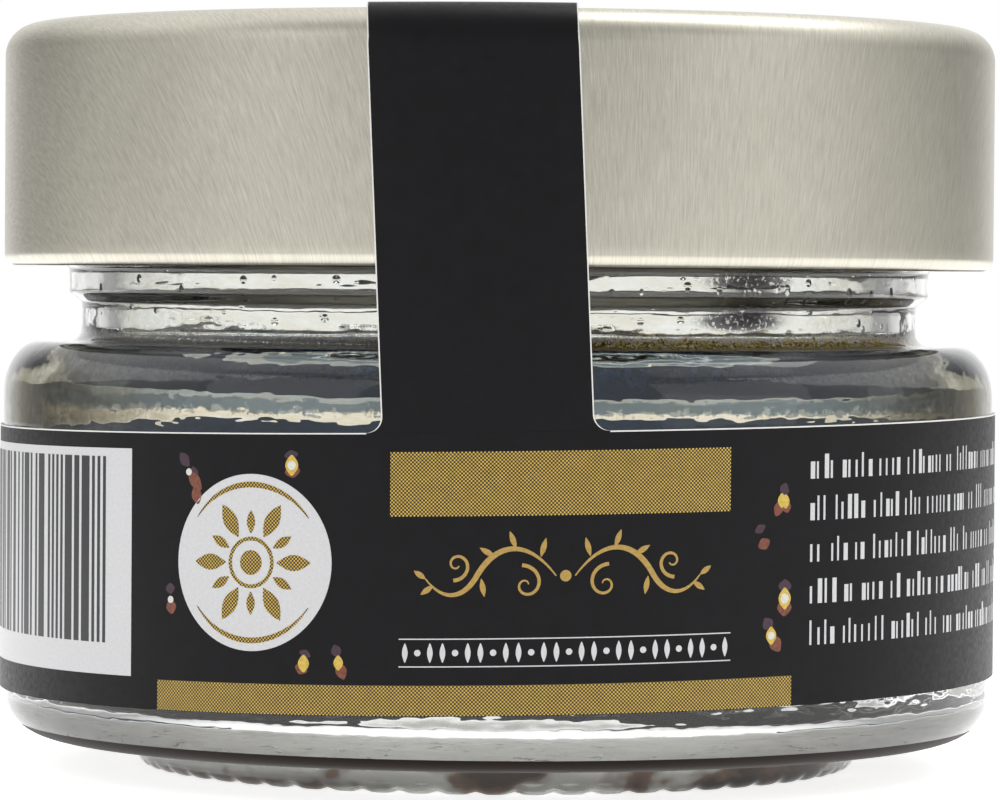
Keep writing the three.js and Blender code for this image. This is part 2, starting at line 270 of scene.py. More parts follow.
def add_bump(tree, bsdf, height, depth, strength=1.0):
    """Bump of a depth in millimetres."""
    bump = add_node(tree, "ShaderNodeBump", {"Height": height, "Distance": depth * MM, "Strength": strength})
    tree.links.new(bump.outputs["Normal"], bsdf.inputs["Normal"])


def pass_lamps(material, tree, bsdf, colour):
    """Lets light reach what lies behind a clear surface."""
    path = add_node(tree, "ShaderNodeLightPath")
    clear = add_node(tree, "ShaderNodeBsdfTransparent", {"Color": (*colour, 1)})
    mix = add_node(tree, "ShaderNodeMixShader")
    tree.links.new(path.outputs["Is Shadow Ray"], mix.inputs[0])
    tree.links.new(bsdf.outputs["BSDF"], mix.inputs[1])
    tree.links.new(clear.outputs["BSDF"], mix.inputs[2])
    tree.links.new(mix.outputs["Shader"], tree.nodes["Material Output"].inputs["Surface"])


def start_glass(name, roughness):
    material, tree, bsdf = new_material(name)
    bsdf.inputs["Base Color"].default_value = (0.955, 0.963, 0.945, 1)
    bsdf.inputs["Roughness"].default_value = roughness
    bsdf.inputs["IOR"].default_value = 1.52
    bsdf.inputs["Transmission Weight"].default_value = 1.0
    pass_lamps(material, tree, bsdf, (0.93, 0.95, 0.93))
    return material, tree, bsdf


def glass_material():
    """The outer face. Dried juice in the shoulder's corner shows through it; painted shade darkens the heel and foot,
    in place of the dark contents seen through them, and the shoulder's side edges.
    """
    material, tree, bsdf = start_glass("clear_glass", 0.01)
    clean = (0.955, 0.963, 0.945)
    flow = noise_value(tree, object_position(tree, (1, 1, 2.5)), 0.35, 2.0)
    add_bump(tree, bsdf, flow, 0.05, 0.6)
    place = object_position(tree)
    axes = add_node(tree, "ShaderNodeSeparateXYZ", {"Vector": place})
    side = add_node(tree, "ShaderNodeMath", {0: axes.outputs["X"]}, operation="ABSOLUTE")
    ragged = noise_value(tree, place, 1.5, 2.0, 0.7)
    crumbs = noise_value(tree, place, 4.5, 1.0, 0.7)

    wavy = add_node(tree, "ShaderNodeMath", {0: flow, 1: 0.2, 2: axes.outputs["Z"]}, operation="MULTIPLY_ADD")
    low = add_node(tree, "ShaderNodeMapRange", {"Value": wavy.outputs["Value"], "From Min": 0.0, "From Max": 4.0})
    # Painted shade: a dark band round the heel, in place of the dark contents seen through it.
    dark = (0.004, 0.0018, 0.001)
    heel = ramp(tree, low.outputs["Result"], [(0.455, clean), (0.475, dark), (0.63, dark), (0.645, clean)])
    # Painted shade: dark brown patches on the foot, in place of the dark contents seen through it.
    patches = noise_value(tree, object_position(tree, (1, 1, 1.6)), 0.16, 3.0, 0.6)
    foot_painted_shade = ramp(tree, patches, [(0.5, grey(1.0)), (0.56, (0.10, 0.04, 0.02)), (0.62, (0.01, 0.004, 0.002))])
    foot = add_node(tree, "ShaderNodeMix", {"A": (1, 1, 1, 1), "B": foot_painted_shade}, data_type="RGBA")
    tree.links.new(ramp(tree, low.outputs["Result"], [(0.44, grey(1.0)), (0.46, grey(0.0))]), foot.inputs["Factor"])
    # Painted shade: the foot's lowest edge is darker towards the sides.
    aside = add_node(tree, "ShaderNodeMapRange", {"Value": side.outputs["Value"], "From Min": 4.0, "From Max": 12.0})
    rim = masked(tree, aside.outputs["Result"], ramp(tree, low.outputs["Result"], [(0.13, grey(1.0)), (0.18, grey(0.0))]))
    tint = multiply_colours(tree, heel, foot.outputs["Result"])
    tint = multiply_colours(tree, tint, ramp(tree, rim, [(0.0, grey(1.0)), (1.0, (0.02, 0.01, 0.006))]))

    # Painted shade: the shoulder's side edges are darkened.
    outward = add_node(tree, "ShaderNodeMath", {0: ragged, 1: 6.0, 2: side.outputs["Value"]}, operation="MULTIPLY_ADD")
    outward = add_node(tree, "ShaderNodeMapRange", {"Value": outward.outputs["Value"], "From Min": 23.5, "From Max": 28.5})
    height = add_node(tree, "ShaderNodeMapRange", {"Value": axes.outputs["Z"], "From Min": 19.0, "From Max": 29.0})
    shoulder = ramp(tree, height.outputs["Result"], [(0.0, grey(0.0)), (0.05, grey(1.0)), (0.47, grey(1.0)), (0.5, grey(0.0))])
    edge = masked(tree, outward.outputs["Result"], shoulder)
    tint = multiply_colours(tree, tint, ramp(tree, edge, [(0.0, grey(1.0)), (1.0, (0.20, 0.19, 0.14))]))

    spot = patch(tree, on_circle(COLLAR_RADIUS, math.radians(33), 27.6), 3.3, 0.6)
    lower_spot = patch(tree, on_circle(NECK_RADIUS, math.radians(33), 25.45), 3.3, 0.65)
    spots = add_node(tree, "ShaderNodeMath", {0: spot, 1: lower_spot}, operation="ADD")
    spots = masked(tree, spots.outputs["Value"], ramp(tree, crumbs, [(0.36, grey(0.2)), (0.46, grey(1.0))]))
    tint = multiply_colours(tree, tint, ramp(tree, spots, [(0.0, grey(1.0)), (0.5, (0.05, 0.045, 0.05)), (1.0, (0.006, 0.005, 0.007))]))

    crust_edge = add_node(tree, "ShaderNodeMath", {0: ragged, 1: 0.9, 2: axes.outputs["Z"]}, operation="MULTIPLY_ADD")
    crust = add_node(tree, "ShaderNodeMapRange", {"Value": crust_edge.outputs["Value"], "From Min": 23.6, "From Max": 25.6})
    crust = ramp(tree, crust.outputs["Result"], [(0.16, grey(0.0)), (0.22, grey(1.0)), (0.58, grey(1.0)), (0.78, grey(0.0))])
    girth = add_node(tree, "ShaderNodeVectorMath", {0: object_position(tree, (1, 1, 0))}, operation="LENGTH")
    corner = add_node(
        tree,
        "ShaderNodeMapRange",
        {"Value": girth.outputs["Value"], "From Min": NECK_RADIUS + 1.3, "From Max": NECK_RADIUS + 1.9},
    )
    crust = masked(tree, crust, ramp(tree, corner.outputs["Result"], [(0.0, grey(1.0)), (1.0, grey(0.0))]))
    rightward = add_node(tree, "ShaderNodeMapRange", {"Value": axes.outputs["X"], "From Min": -14.0, "From Max": 4.0})
    crust = masked(tree, crust, ramp(tree, rightward.outputs["Result"], [(0.0, grey(0.75)), (1.0, grey(1.0))]))
    crust = masked(tree, crust, ramp(tree, crumbs, [(0.36, grey(0.3)), (0.46, grey(1.0))]))
    stain = ramp(
        tree,
        crumbs,
        [(0.42, (0.62, 0.46, 0.07)), (0.47, (0.16, 0.09, 0.015)), (0.53, (0.02, 0.012, 0.004)), (0.6, (0.34, 0.27, 0.05))],
    )
    stain = multiply_colours(tree, stain, ramp(tree, rightward.outputs["Result"], [(0.3, (0.08, 0.06, 0.06)), (1.0, grey(1.0))]))
    final = add_node(tree, "ShaderNodeMix", {"Factor": crust, "A": tint, "B": stain}, data_type="RGBA")
    tree.links.new(final.outputs["Result"], bsdf.inputs["Base Color"])
    tree.links.new(ramp(tree, crust, [(0.0, grey(1.0)), (1.0, grey(0.0))]), bsdf.inputs["Transmission Weight"])
    return material


def heel_painted_shade_material():
    """The lowest curve of the heel: painted shade, an opaque dark brown in place of the dark contents and shadowed
    floor seen there, greyer at its lower edge; it mirrors next to nothing.
    """
    material, tree, bsdf = start_glass("heel_painted_shade", 0.4)
    axes = add_node(tree, "ShaderNodeSeparateXYZ", {"Vector": object_position(tree)})
    streaks = noise_value(tree, object_position(tree, (1, 1, 5)), 0.3, 2.0)
    wavy = add_node(tree, "ShaderNodeMath", {0: streaks, 1: 0.3, 2: axes.outputs["Z"]}, operation="MULTIPLY_ADD")
    height = add_node(tree, "ShaderNodeMapRange", {"Value": wavy.outputs["Value"], "From Min": 1.8, "From Max": 2.8})
    # Painted shade: dark brown, a little greyer towards the lower edge.
    colour = ramp(tree, height.outputs["Result"], [(0.15, (0.035, 0.029, 0.023)), (0.4, (0.013, 0.0075, 0.005))])
    tree.links.new(colour, bsdf.inputs["Base Color"])
    bsdf.inputs["Transmission Weight"].default_value = 0.0
    bsdf.inputs["Specular IOR Level"].default_value = 0.05
    return material


def stippled_glass_material():
    """The underside, stippled by its mould."""
    material, tree, bsdf = start_glass("stippled_glass", 0.15)
    bsdf.inputs["Base Color"].default_value = (0.93, 0.935, 0.91, 1)
    bsdf.inputs["Transmission Weight"].default_value = 0.85
    bsdf.inputs["Specular IOR Level"].default_value = 0.05
    stipple = noise_value(tree, object_position(tree), 3.4, 1.0)
    add_bump(tree, bsdf, stipple, 0.004)
    return material


def base_painted_light_material():
    """The jar's floor and inner heel: painted light, a pale, mostly diffuse film in place of the silvery light seen
    through the base, with dark flakes in it.
    """
    material, tree, bsdf = start_glass("base_painted_light", 0.25)
    place = object_position(tree)
    flakes = noise_value(tree, place, 0.9, 3.0, 0.7)
    drift = noise_value(tree, object_position(tree, (1, 1, 3)), 0.22, 1.0)
    # Painted light: the pale stops stand in for light seen through the base; the dark stop makes flakes.
    film = ramp(tree, flakes, [(0.34, (0.05, 0.035, 0.025)), (0.38, (0.84, 0.84, 0.80)), (0.7, (0.93, 0.935, 0.91))])
    tree.links.new(film, bsdf.inputs["Base Color"])
    bsdf.inputs["Specular IOR Level"].default_value = 0.05
    tree.links.new(ramp(tree, drift, [(0.35, grey(0.12)), (0.65, grey(0.45))]), bsdf.inputs["Transmission Weight"])
    add_bump(tree, bsdf, flakes, 0.03)
    return material


def multiply_colours(tree, first, second):
    mix = add_node(tree, "ShaderNodeMix", data_type="RGBA", blend_type="MULTIPLY")
    mix.inputs["Factor"].default_value = 1.0
    tree.links.new(first, mix.inputs["A"])
    tree.links.new(second, mix.inputs["B"])
    return mix.outputs["Result"]


def masked(tree, first, second):
    node = add_node(tree, "ShaderNodeMath", {0: first, 1: second}, operation="MULTIPLY")
    return node.outputs["Value"]


def patch(tree, centre, across, up):
    """1 near a point on the glass and 0 outside an oval about it."""
    coordinates = add_node(tree, "ShaderNodeTexCoord")
    scale = (1 / across, 1 / across, 1 / up)
    mapping = add_node(
        tree,
        "ShaderNodeMapping",
        {
            "Vector": coordinates.outputs["Object"],
            "Location": [-place * part for place, part in zip(centre, scale)],
            "Scale": [part / MM for part in scale],
        },
    )
    reach = add_node(tree, "ShaderNodeVectorMath", {0: mapping.outputs["Vector"]}, operation="LENGTH")
    return ramp(tree, reach.outputs["Value"], [(0.35, grey(1.0)), (1.0, grey(0.0))])


def inside_glass_material():
    """The inner face: droplets on the neck, dried juice with crumbs in the shoulder's corner, a cream band, and
    painted shade in a slate band, a dark band above it and at the far sides.
    """
    material, tree, bsdf = start_glass("inside_glass", 0.01)
    place = object_position(tree)
    axes = add_node(tree, "ShaderNodeSeparateXYZ", {"Vector": place})
    ragged = noise_value(tree, place, 1.5, 2.0, 0.7)
    crumbs = noise_value(tree, place, 4.5, 1.0, 0.7)
    smears = noise_value(tree, object_position(tree, (1, 1, 4)), 0.3, 2.0, 0.7)
    edge = add_node(tree, "ShaderNodeMath", {0: ragged, 1: 1.5, 2: axes.outputs["Z"]}, operation="MULTIPLY_ADD")
    level = add_node(
        tree, "ShaderNodeMapRange", {"Value": edge.outputs["Value"], "From Min": 23.0, "From Max": 26.0}
    )
    ring = ramp(
        tree, level.outputs["Result"], [(0.3, grey(0.0)), (0.37, grey(1.0)), (0.7, grey(1.0)), (0.82, grey(0.0))]
    )
    side = add_node(tree, "ShaderNodeMapRange", {"Value": axes.outputs["X"], "From Min": -12.0, "From Max": 4.0})
    amount = masked(tree, ring, ramp(tree, side.outputs["Result"], [(0.0, grey(0.12)), (1.0, grey(1.0))]))
    amount = masked(tree, amount, ramp(tree, crumbs, [(0.36, grey(0.25)), (0.5, grey(1.0))]))
    stain = ramp(
        tree,
        crumbs,
        [(0.4, (0.62, 0.44, 0.06)), (0.47, (0.22, 0.12, 0.012)), (0.53, (0.02, 0.011, 0.003)), (0.6, (0.34, 0.27, 0.05))],
    )
    clean = (0.95, 0.955, 0.945)
    film = ramp(tree, smears, [(0.45, clean), (0.6, (0.88, 0.85, 0.77))])
    tint_height = add_node(
        tree, "ShaderNodeMapRange", {"Value": edge.outputs["Value"], "From Min": 20.0, "From Max": 23.0}
    )
    # The slate band above the cream one is painted shade, in place of the dark label seen through the shoulder.
    cream, painted_slate_shade = (0.90, 0.83, 0.69), (0.16, 0.20, 0.22)
    cream_and_painted_shade_bands = ramp(
        tree,
        tint_height.outputs["Result"],
        [(0.05, clean), (0.15, cream), (0.42, cream), (0.48, painted_slate_shade), (0.9, painted_slate_shade), (1.0, clean)],
    )
    film = multiply_colours(tree, film, cream_and_painted_shade_bands)
    # Painted shade: a dark band just above the slate band.
    painted_shade_tint = (0.12, 0.15, 0.17)
    low_ring = ramp(
        tree, level.outputs["Result"], [(0.02, clean), (0.08, painted_shade_tint), (0.26, painted_shade_tint), (0.34, clean)]
    )
    film = multiply_colours(tree, film, low_ring)
    # Painted shade: the far sides of the inner face are darkened.
    far_side = add_node(tree, "ShaderNodeMath", {0: axes.outputs["X"]}, operation="ABSOLUTE")
    far_side = add_node(tree, "ShaderNodeMath", {0: ragged, 1: 9.0, 2: far_side.outputs["Value"]}, operation="MULTIPLY_ADD")
    far_side = add_node(tree, "ShaderNodeMapRange", {"Value": far_side.outputs["Value"], "From Min": 23.0, "From Max": 30.0})
    film = multiply_colours(tree, film, ramp(tree, far_side.outputs["Result"], [(0.0, grey(1.0)), (1.0, (0.36, 0.34, 0.26))]))
    spot = patch(tree, on_circle(BORE_RADIUS, math.radians(37), 26.4), 3.4, 2.2)
    dark = masked(tree, spot, ramp(tree, ragged, [(0.34, grey(0.0)), (0.44, grey(1.0))]))
    low = add_node(tree, "ShaderNodeMix", {"Factor": amount}, data_type="RGBA")
    tree.links.new(film, low.inputs["A"])
    tree.links.new(stain, low.inputs["B"])
    high = add_node(tree, "ShaderNodeMix", {"Factor": dark}, data_type="RGBA")
    tree.links.new(low.outputs["Result"], high.inputs["A"])
    high.inputs["B"].default_value = (0.008, 0.007, 0.009, 1)
    tree.links.new(high.outputs["Result"], bsdf.inputs["Base Color"])
    cells = add_node(tree, "ShaderNodeTexVoronoi", {"Vector": place, "Scale": 0.9})
    drops = ramp(tree, cells.outputs["Distance"], [(0.0, grey(1.0)), (0.22, grey(0.0))])
    above = add_node(tree, "ShaderNodeMapRange", {"Value": axes.outputs["Z"], "From Min": 23.5, "From Max": 26.0})
    add_bump(tree, bsdf, masked(tree, drops, above.outputs["Result"]), 0.05)
    return material


def lid_material():
    """Satin sheet metal, brushed in one direction before it was drawn."""
    material, tree, bsdf = new_material("brushed_tinplate")
    strokes = noise_value(tree, sheet_position(tree, (1.1, 9.0, 1)), 1.0, 4.0, 0.7)
    fine = noise_value(tree, sheet_position(tree, (2.2, 22.0, 1)), 1.0, 3.0, 0.7)
    cloudy = noise_value(tree, object_position(tree), 0.12, 2.0)
    colour = ramp(tree, strokes, [(0.3, (0.50, 0.475, 0.40)), (0.7, (0.70, 0.67, 0.57))])
    tone = ramp(tree, cloudy, [(0.3, grey(0.93)), (0.7, grey(1.0))])
    tree.links.new(multiply_colours(tree, colour, tone), bsdf.inputs["Base Color"])
    bsdf.inputs["Metallic"].default_value = 1.0
    tree.links.new(ramp(tree, fine, [(0.25, grey(0.27)), (0.75, grey(0.43))]), bsdf.inputs["Roughness"])
    both = add_node(tree, "ShaderNodeMath", operation="ADD")
    tree.links.new(strokes, both.inputs[0])
    tree.links.new(fine, both.inputs[1])
    add_bump(tree, bsdf, both.outputs["Value"], 0.012, 0.5)
    return material


def lacquer_material():
    """The lid's inner face: dull whitish lacquer over the tinplate."""
    material, tree, bsdf = new_material("inner_lacquer")
    cloudy = noise_value(tree, object_position(tree), 0.5, 3.0)
    colour = ramp(tree, cloudy, [(0.3, (0.58, 0.56, 0.50)), (0.7, (0.68, 0.66, 0.60))])
    tree.links.new(colour, bsdf.inputs["Base Color"])
    bsdf.inputs["Roughness"].default_value = 0.35
    bsdf.inputs["Metallic"].default_value = 0.3
    add_bump(tree, bsdf, cloudy, 0.02)
    return material


def curl_painted_shade_material():
    """The rolled edge's underside, with painted shade: mottled dark brown metal in place of the darkness it mirrors.
    """
    material, tree, bsdf = new_material("rolled_edge_painted_shade")
    shade_mottle = noise_value(tree, object_position(tree), 1.2, 4.0, 0.7)
    colour = ramp(tree, shade_mottle, [(0.35, (0.055, 0.035, 0.022)), (0.6, (0.16, 0.125, 0.09)), (0.75, (0.34, 0.31, 0.25))])
    tree.links.new(colour, bsdf.inputs["Base Color"])
    bsdf.inputs["Metallic"].default_value = 1.0
    tree.links.new(ramp(tree, shade_mottle, [(0.3, grey(0.55)), (0.7, grey(0.4))]), bsdf.inputs["Roughness"])
    add_bump(tree, bsdf, shade_mottle, 0.02)
    return material


def compound_material():
    material, tree, bsdf = new_material("sealing_compound")
    mottled = noise_value(tree, object_position(tree), 1.5, 3.0)
    colour = ramp(tree, mottled, [(0.3, (0.66, 0.61, 0.52)), (0.7, (0.76, 0.71, 0.62))])
    tree.links.new(colour, bsdf.inputs["Base Color"])
    bsdf.inputs["Roughness"].default_value = 0.7
    add_bump(tree, bsdf, mottled, 0.05)
    return material


def paper_front_material():
    """Black print on coated paper, with the faint unevenness of the sheet."""
    material, tree, bsdf = new_material("label_black")
    spots = noise_value(tree, sheet_position(tree), 0.8, 4.0, 0.6)
    colour = ramp(tree, spots, [(0.3, (0.0048, 0.0046, 0.0056)), (0.75, (0.0068, 0.0066, 0.008))])
    tree.links.new(colour, bsdf.inputs["Base Color"])
    dull = noise_value(tree, sheet_position(tree), 3.0, 3.0)
    tree.links.new(ramp(tree, dull, [(0.3, grey(0.36)), (0.7, grey(0.5))]), bsdf.inputs["Roughness"])
    bsdf.inputs["Specular IOR Level"].default_value = 0.16
    waves = noise_value(tree, sheet_position(tree), 0.18, 3.0, 0.6)
    add_bump(tree, bsdf, waves, 0.12, 0.5)
    return material


def plain_paper_material(name, dark, light, roughness):
    material, tree, bsdf = new_material(name)
    fibres = noise_value(tree, object_position(tree), 4.0, 4.0, 0.7)
    tree.links.new(ramp(tree, fibres, [(0.3, dark), (0.7, light)]), bsdf.inputs["Base Color"])
    bsdf.inputs["Roughness"].default_value = roughness
    add_bump(tree, bsdf, fibres, 0.01)
    return material


def gold_screen_material():
    """Gold printed as a fine dot screen over black."""
    material, tree, bsdf = new_material("gold_dot_screen")
    screen = add_node(tree, "ShaderNodeSeparateXYZ", {"Vector": sheet_position(tree)})
    pitch = 0.14
    waves = []
    for axis in ("X", "Y"):
        scaled = add_node(tree, "ShaderNodeMath", operation="MULTIPLY")
        tree.links.new(screen.outputs[axis], scaled.inputs[0])
        scaled.inputs[1].default_value = 2 * math.pi / (pitch * math.sqrt(2))
        wave = add_node(tree, "ShaderNodeMath", operation="SINE")
        tree.links.new(scaled.outputs["Value"], wave.inputs[0])
        waves.append(wave.outputs["Value"])
    product = add_node(tree, "ShaderNodeMath", operation="MULTIPLY")
    tree.links.new(waves[0], product.inputs[0])
    tree.links.new(waves[1], product.inputs[1])
    cover = add_node(tree, "ShaderNodeMath", {0: product.outputs["Value"], 1: 0.5, 2: 0.5}, operation="MULTIPLY_ADD")
    gold, gap = (0.66, 0.44, 0.055), (0.006, 0.003, 0.001)
    colour = ramp(tree, cover.outputs["Value"], [(0.42, gold), (0.48, gap)])
    mottled = noise_value(tree, sheet_position(tree), 1.4, 2.0)
    tone = ramp(tree, mottled, [(0.3, grey(0.85)), (0.7, grey(1.0))])
    tree.links.new(multiply_colours(tree, colour, tone), bsdf.inputs["Base Color"])
    bsdf.inputs["Roughness"].default_value = 0.42
    return material


def ink_material(name, dark, light):
    material, tree, bsdf = new_material(name)
    uneven = noise_value(tree, sheet_position(tree), 6.0, 3.0)
    tree.links.new(ramp(tree, uneven, [(0.3, dark), (0.7, light)]), bsdf.inputs["Base Color"])
    bsdf.inputs["Roughness"].default_value = 0.4
    return material


def truffle_material():
    """Black-brown skin, paler and rustier in the cracks between the warts."""
    material, tree, bsdf = new_material("truffle_skin")
    geometry = add_node(tree, "ShaderNodeNewGeometry")
    grain = noise_value(tree, object_position(tree), 2.2, 5.0, 0.7)
    patchy = noise_value(tree, object_position(tree), 0.25, 3.0)
    skin = ramp(tree, grain, [(0.3, (0.008, 0.006, 0.005)), (0.62, (0.03, 0.021, 0.016)), (0.8, (0.07, 0.048, 0.032))])
    crack = ramp(tree, geometry.outputs["Pointiness"], [(0.42, (0.11, 0.068, 0.04)), (0.5, (0, 0, 0))])
    mix = add_node(tree, "ShaderNodeMix", data_type="RGBA", blend_type="ADD")
    tree.links.new(patchy, mix.inputs["Factor"])
    tree.links.new(skin, mix.inputs["A"])
    tree.links.new(crack, mix.inputs["B"])
    tree.links.new(mix.outputs["Result"], bsdf.inputs["Base Color"])
    tree.links.new(ramp(tree, grain, [(0.3, grey(0.3)), (0.7, grey(0.62))]), bsdf.inputs["Roughness"])
    add_bump(tree, bsdf, grain, 0.12)
    return material


def juice_material():
    material, tree, bsdf = new_material("truffle_juice")
    cloudy = noise_value(tree, object_position(tree), 0.4, 3.0)
    colour = ramp(tree, cloudy, [(0.3, (0.16, 0.07, 0.022)), (0.7, (0.30, 0.145, 0.05))])
    tree.links.new(colour, bsdf.inputs["Base Color"])
    bsdf.inputs["Roughness"].default_value = 0.03
    bsdf.inputs["IOR"].default_value = 1.34
    bsdf.inputs["Transmission Weight"].default_value = 1.0
    add_bump(tree, bsdf, cloudy, 0.05)
    pass_lamps(material, tree, bsdf, (0.5, 0.32, 0.16))
    return material


# The glass


def glass_profile():
    """The outline from under the foot, up the outside, over the rim and down the inside."""
    heel_centre = BODY_RADIUS - HEEL_WIDTH
    shoulder_width = 2.1
    neck_fillet = 0.7
    inside = BODY_RADIUS - WALL
    inside_heel = 2.6
    inside_shoulder = 1.1
    inside_top = SHOULDER_TOP - 0.8
    inner_corner = FOOT_INNER_RADIUS - 0.6
    profile = [(0, PUSH_UP), (4, 3.3), (8, 3.0), (11.5, 2.5), (14.5, 1.9), (16.4, 1.3)]
    profile += line((inner_corner, 0.7), (FOOT_INNER_RADIUS, 0), 4)
    profile += line((FOOT_INNER_RADIUS, 0), (FOOT_RADIUS - 0.6, 0), 4)
    profile += arc(FOOT_RADIUS - 0.6, 0.6, 0.6, 0.6, -90, 0, 8)
    profile += arc(FOOT_RADIUS + 0.35, UNDERSIDE - 0.45, 0.35, 0.35, 180, 95, 5)
    profile += arc(heel_centre, HEEL_TOP, HEEL_WIDTH, HEEL_TOP - UNDERSIDE, -90, 0, 16)
    profile += line((BODY_RADIUS, HEEL_TOP), (BODY_RADIUS, WALL_TOP), 4)[1:]
    profile += arc(BODY_RADIUS - shoulder_width, WALL_TOP, shoulder_width, SHOULDER_TOP - WALL_TOP, 0, 90, 14)
    profile += arc(NECK_RADIUS + neck_fillet, SHOULDER_TOP + neck_fillet, neck_fillet, neck_fillet, -90, -180, 8)
    profile += line((NECK_RADIUS, SHOULDER_TOP + 0.9), (NECK_RADIUS, COLLAR_BOTTOM - 0.2), 5)
    profile += s_curve(NECK_RADIUS, COLLAR_BOTTOM, COLLAR_RADIUS, COLLAR_TOP, 10)
    profile += [(COLLAR_RADIUS, 27.2), (COLLAR_RADIUS, 27.5), (COLLAR_RADIUS, 27.8)]
    profile += s_curve(COLLAR_RADIUS, 28.0, FINISH_RADIUS, 28.55, 8)
    profile += line((FINISH_RADIUS, 28.7), (FINISH_RADIUS, 34), 22)
    profile += arc(FINISH_RADIUS - 0.8, RIM_TOP - 0.8, 0.8, 0.8, 0, 90, 6)
    profile += arc(BORE_RADIUS + 0.8, RIM_TOP - 0.8, 0.8, 0.8, 90, 180, 6)
    profile += line((BORE_RADIUS, RIM_TOP - 2), (BORE_RADIUS, inside_top + 0.8), 20)
    profile += arc(BORE_RADIUS + 0.7, inside_top + 0.7, 0.7, 0.7, 180, 270, 8)
    profile += arc(inside - 0.2 - inside_shoulder, inside_top - inside_shoulder, inside_shoulder, inside_shoulder, 90, 6, 12)
    profile += [(inside - 0.18, inside_top - 1.3), (inside - 0.06, 20.7), (inside - 0.025, 20.1)]
    profile += [(inside - 0.01, 19.3), (inside, 18.4)]
    profile += line((inside, 17.6), (inside, FLOOR_TOP + inside_heel + 0.5), 10)
    profile += arc(inside - inside_heel, FLOOR_TOP + inside_heel, inside_heel, inside_heel, 0, -90, 10)
    profile += [(20, FLOOR_TOP - 0.03), (15, FLOOR_TOP - 0.12), (8, FLOOR_TOP - 0.25), (0, FLOOR_TOP - 0.3)]
    return profile


def thread_lift(angle, height):
    """How far the thread stands out of the finish, with tapered ends."""
    turn = 2 * math.pi / THREAD_STARTS
    along = ((angle - THREAD_PHASE) % turn) / THREAD_SPAN
    if along > 1 or height < THREAD_LOW - 1.5:
        return 0.0
    middle = THREAD_LOW + THREAD_RISE * along
    crest = ease(1.25 - abs(height - middle) / 0.95)
    ends = ease(along / 0.12) * ease((1 - along) / 0.12)
    return (THREAD_RADIUS - FINISH_RADIUS) * crest * ends


def glass_shape(radius, height, angle):
    """Adds the ribs, the thread and the slight unevenness of moulded glass."""
    in_bore = radius < BORE_RADIUS + 0.8 and height > FLOOR_TOP - 0.4
    inner = in_bore or (radius < BODY_RADIUS - WALL + 0.01 and FLOOR_TOP - 0.4 < height < SHOULDER_TOP - 0.9)
    spot = Vector(on_circle(radius, angle, height * 1.6))
    if height < 0.9 and FOOT_INNER_RADIUS - 0.7 < radius <= FOOT_RADIUS:
        groove = (0.5 - 0.5 * math.cos(RIBS * angle)) ** 3
        return radius, height + RIB_DEPTH * groove * ease(1 - height / 0.9)
    if radius >= FINISH_RADIUS - 0.001 and height < 34.5:
        return radius + thread_lift(angle, height), height
    if inner and radius > 15:
        return radius + 0.09 * noise.noise(spot * 0.16) + 0.014 * noise.noise(spot * 0.5), height
    return radius, height


def add_jar(materials):
    profile = glass_profile()
    points, faces = revolve(profile, 480, glass_shape)
    rim = max(range(len(profile)), key=lambda index: profile[index][1])
    slots = []
    for face in faces:
        middle = sum((Vector(points[corner]) for corner in face), Vector()) / len(face)
        radius = math.hypot(middle.x, middle.y)
        under = middle.z < PUSH_UP + 0.1 and radius < BODY_RADIUS - HEEL_WIDTH
        under = under and not FOOT_INNER_RADIUS - 0.1 < radius < FOOT_RADIUS + 0.1
        in_bore = radius < BORE_RADIUS + 0.9
        in_body = radius < BODY_RADIUS - WALL + 0.12 and middle.z < SHOULDER_TOP - 0.6
        inner = middle.z > FLOOR_TOP - 0.4 and (in_bore or in_body)
        # Slot 3, the floor and inner heel, takes the painted light; slot 4, the heel's lowest curve, takes the painted
        # shade.
        floor = inner and middle.z < FLOOR_TOP + 1.2
        low_curve = radius > FOOT_RADIUS + 0.2 and middle.z < UNDERSIDE + 0.72
        slots.append(4 if low_curve else 3 if floor else 2 if under else 1 if inner else 0)
    return make_piece("glass_jar", points, faces, materials, face_slots=slots, stands_for=["jar"])


# The lid


def lid_profile():
    inside_radius = LID_RADIUS - LID_SHEET
    curl_centre = LID_RADIUS - CURL_RADIUS
    curl_height = LID_BOTTOM + CURL_RADIUS
    inside_corner = LID_CORNER - LID_SHEET
    ceiling = LID_TOP - LID_SHEET
    corner_centre = LID_RADIUS - LID_CORNER
    profile = [(0, ceiling - PANEL_STEP), (PANEL_RADIUS - 0.3, ceiling - PANEL_STEP)]
    profile += [(PANEL_RADIUS + PANEL_SLOPE, ceiling)]
    profile += arc(corner_centre, ceiling - inside_corner, inside_corner, inside_corner, 90, 0, 10)
    profile += [(inside_radius, curl_height + 1.1)]
    profile += arc(curl_centre, curl_height, CURL_RADIUS, CURL_RADIUS, 110, 360, 24)
    profile += line((LID_RADIUS, curl_height + 0.5), (LID_RADIUS, LID_TOP - LID_CORNER), 6)
    profile += arc(corner_centre, LID_TOP - LID_CORNER, LID_CORNER, LID_CORNER, 0, 90, 20)
    for step in range(13):
        share = step / 12
        profile.append((PANEL_RADIUS + PANEL_SLOPE * (1.2 - 1.6 * share), LID_TOP - PANEL_STEP * ease(share)))
    profile += [(20, LID_TOP - PANEL_STEP), (12, LID_TOP - PANEL_STEP), (5, LID_TOP - PANEL_STEP)]
    return profile + [(0, LID_TOP - PANEL_STEP)]


def drawn_sheet_uvs(points):
    """Places on the flat sheet that the lid was drawn from: the skirt comes from a wider ring."""
    stretch = 0.5
    grain = math.radians(17)
    uvs = []
    for x, y, z in points:
        radius = math.hypot(x, y)
        flat = radius + stretch * (LID_TOP - z)
        angle = math.atan2(x, -y) - grain
        uvs.append((flat * math.cos(angle), flat * math.sin(angle)))
    return uvs


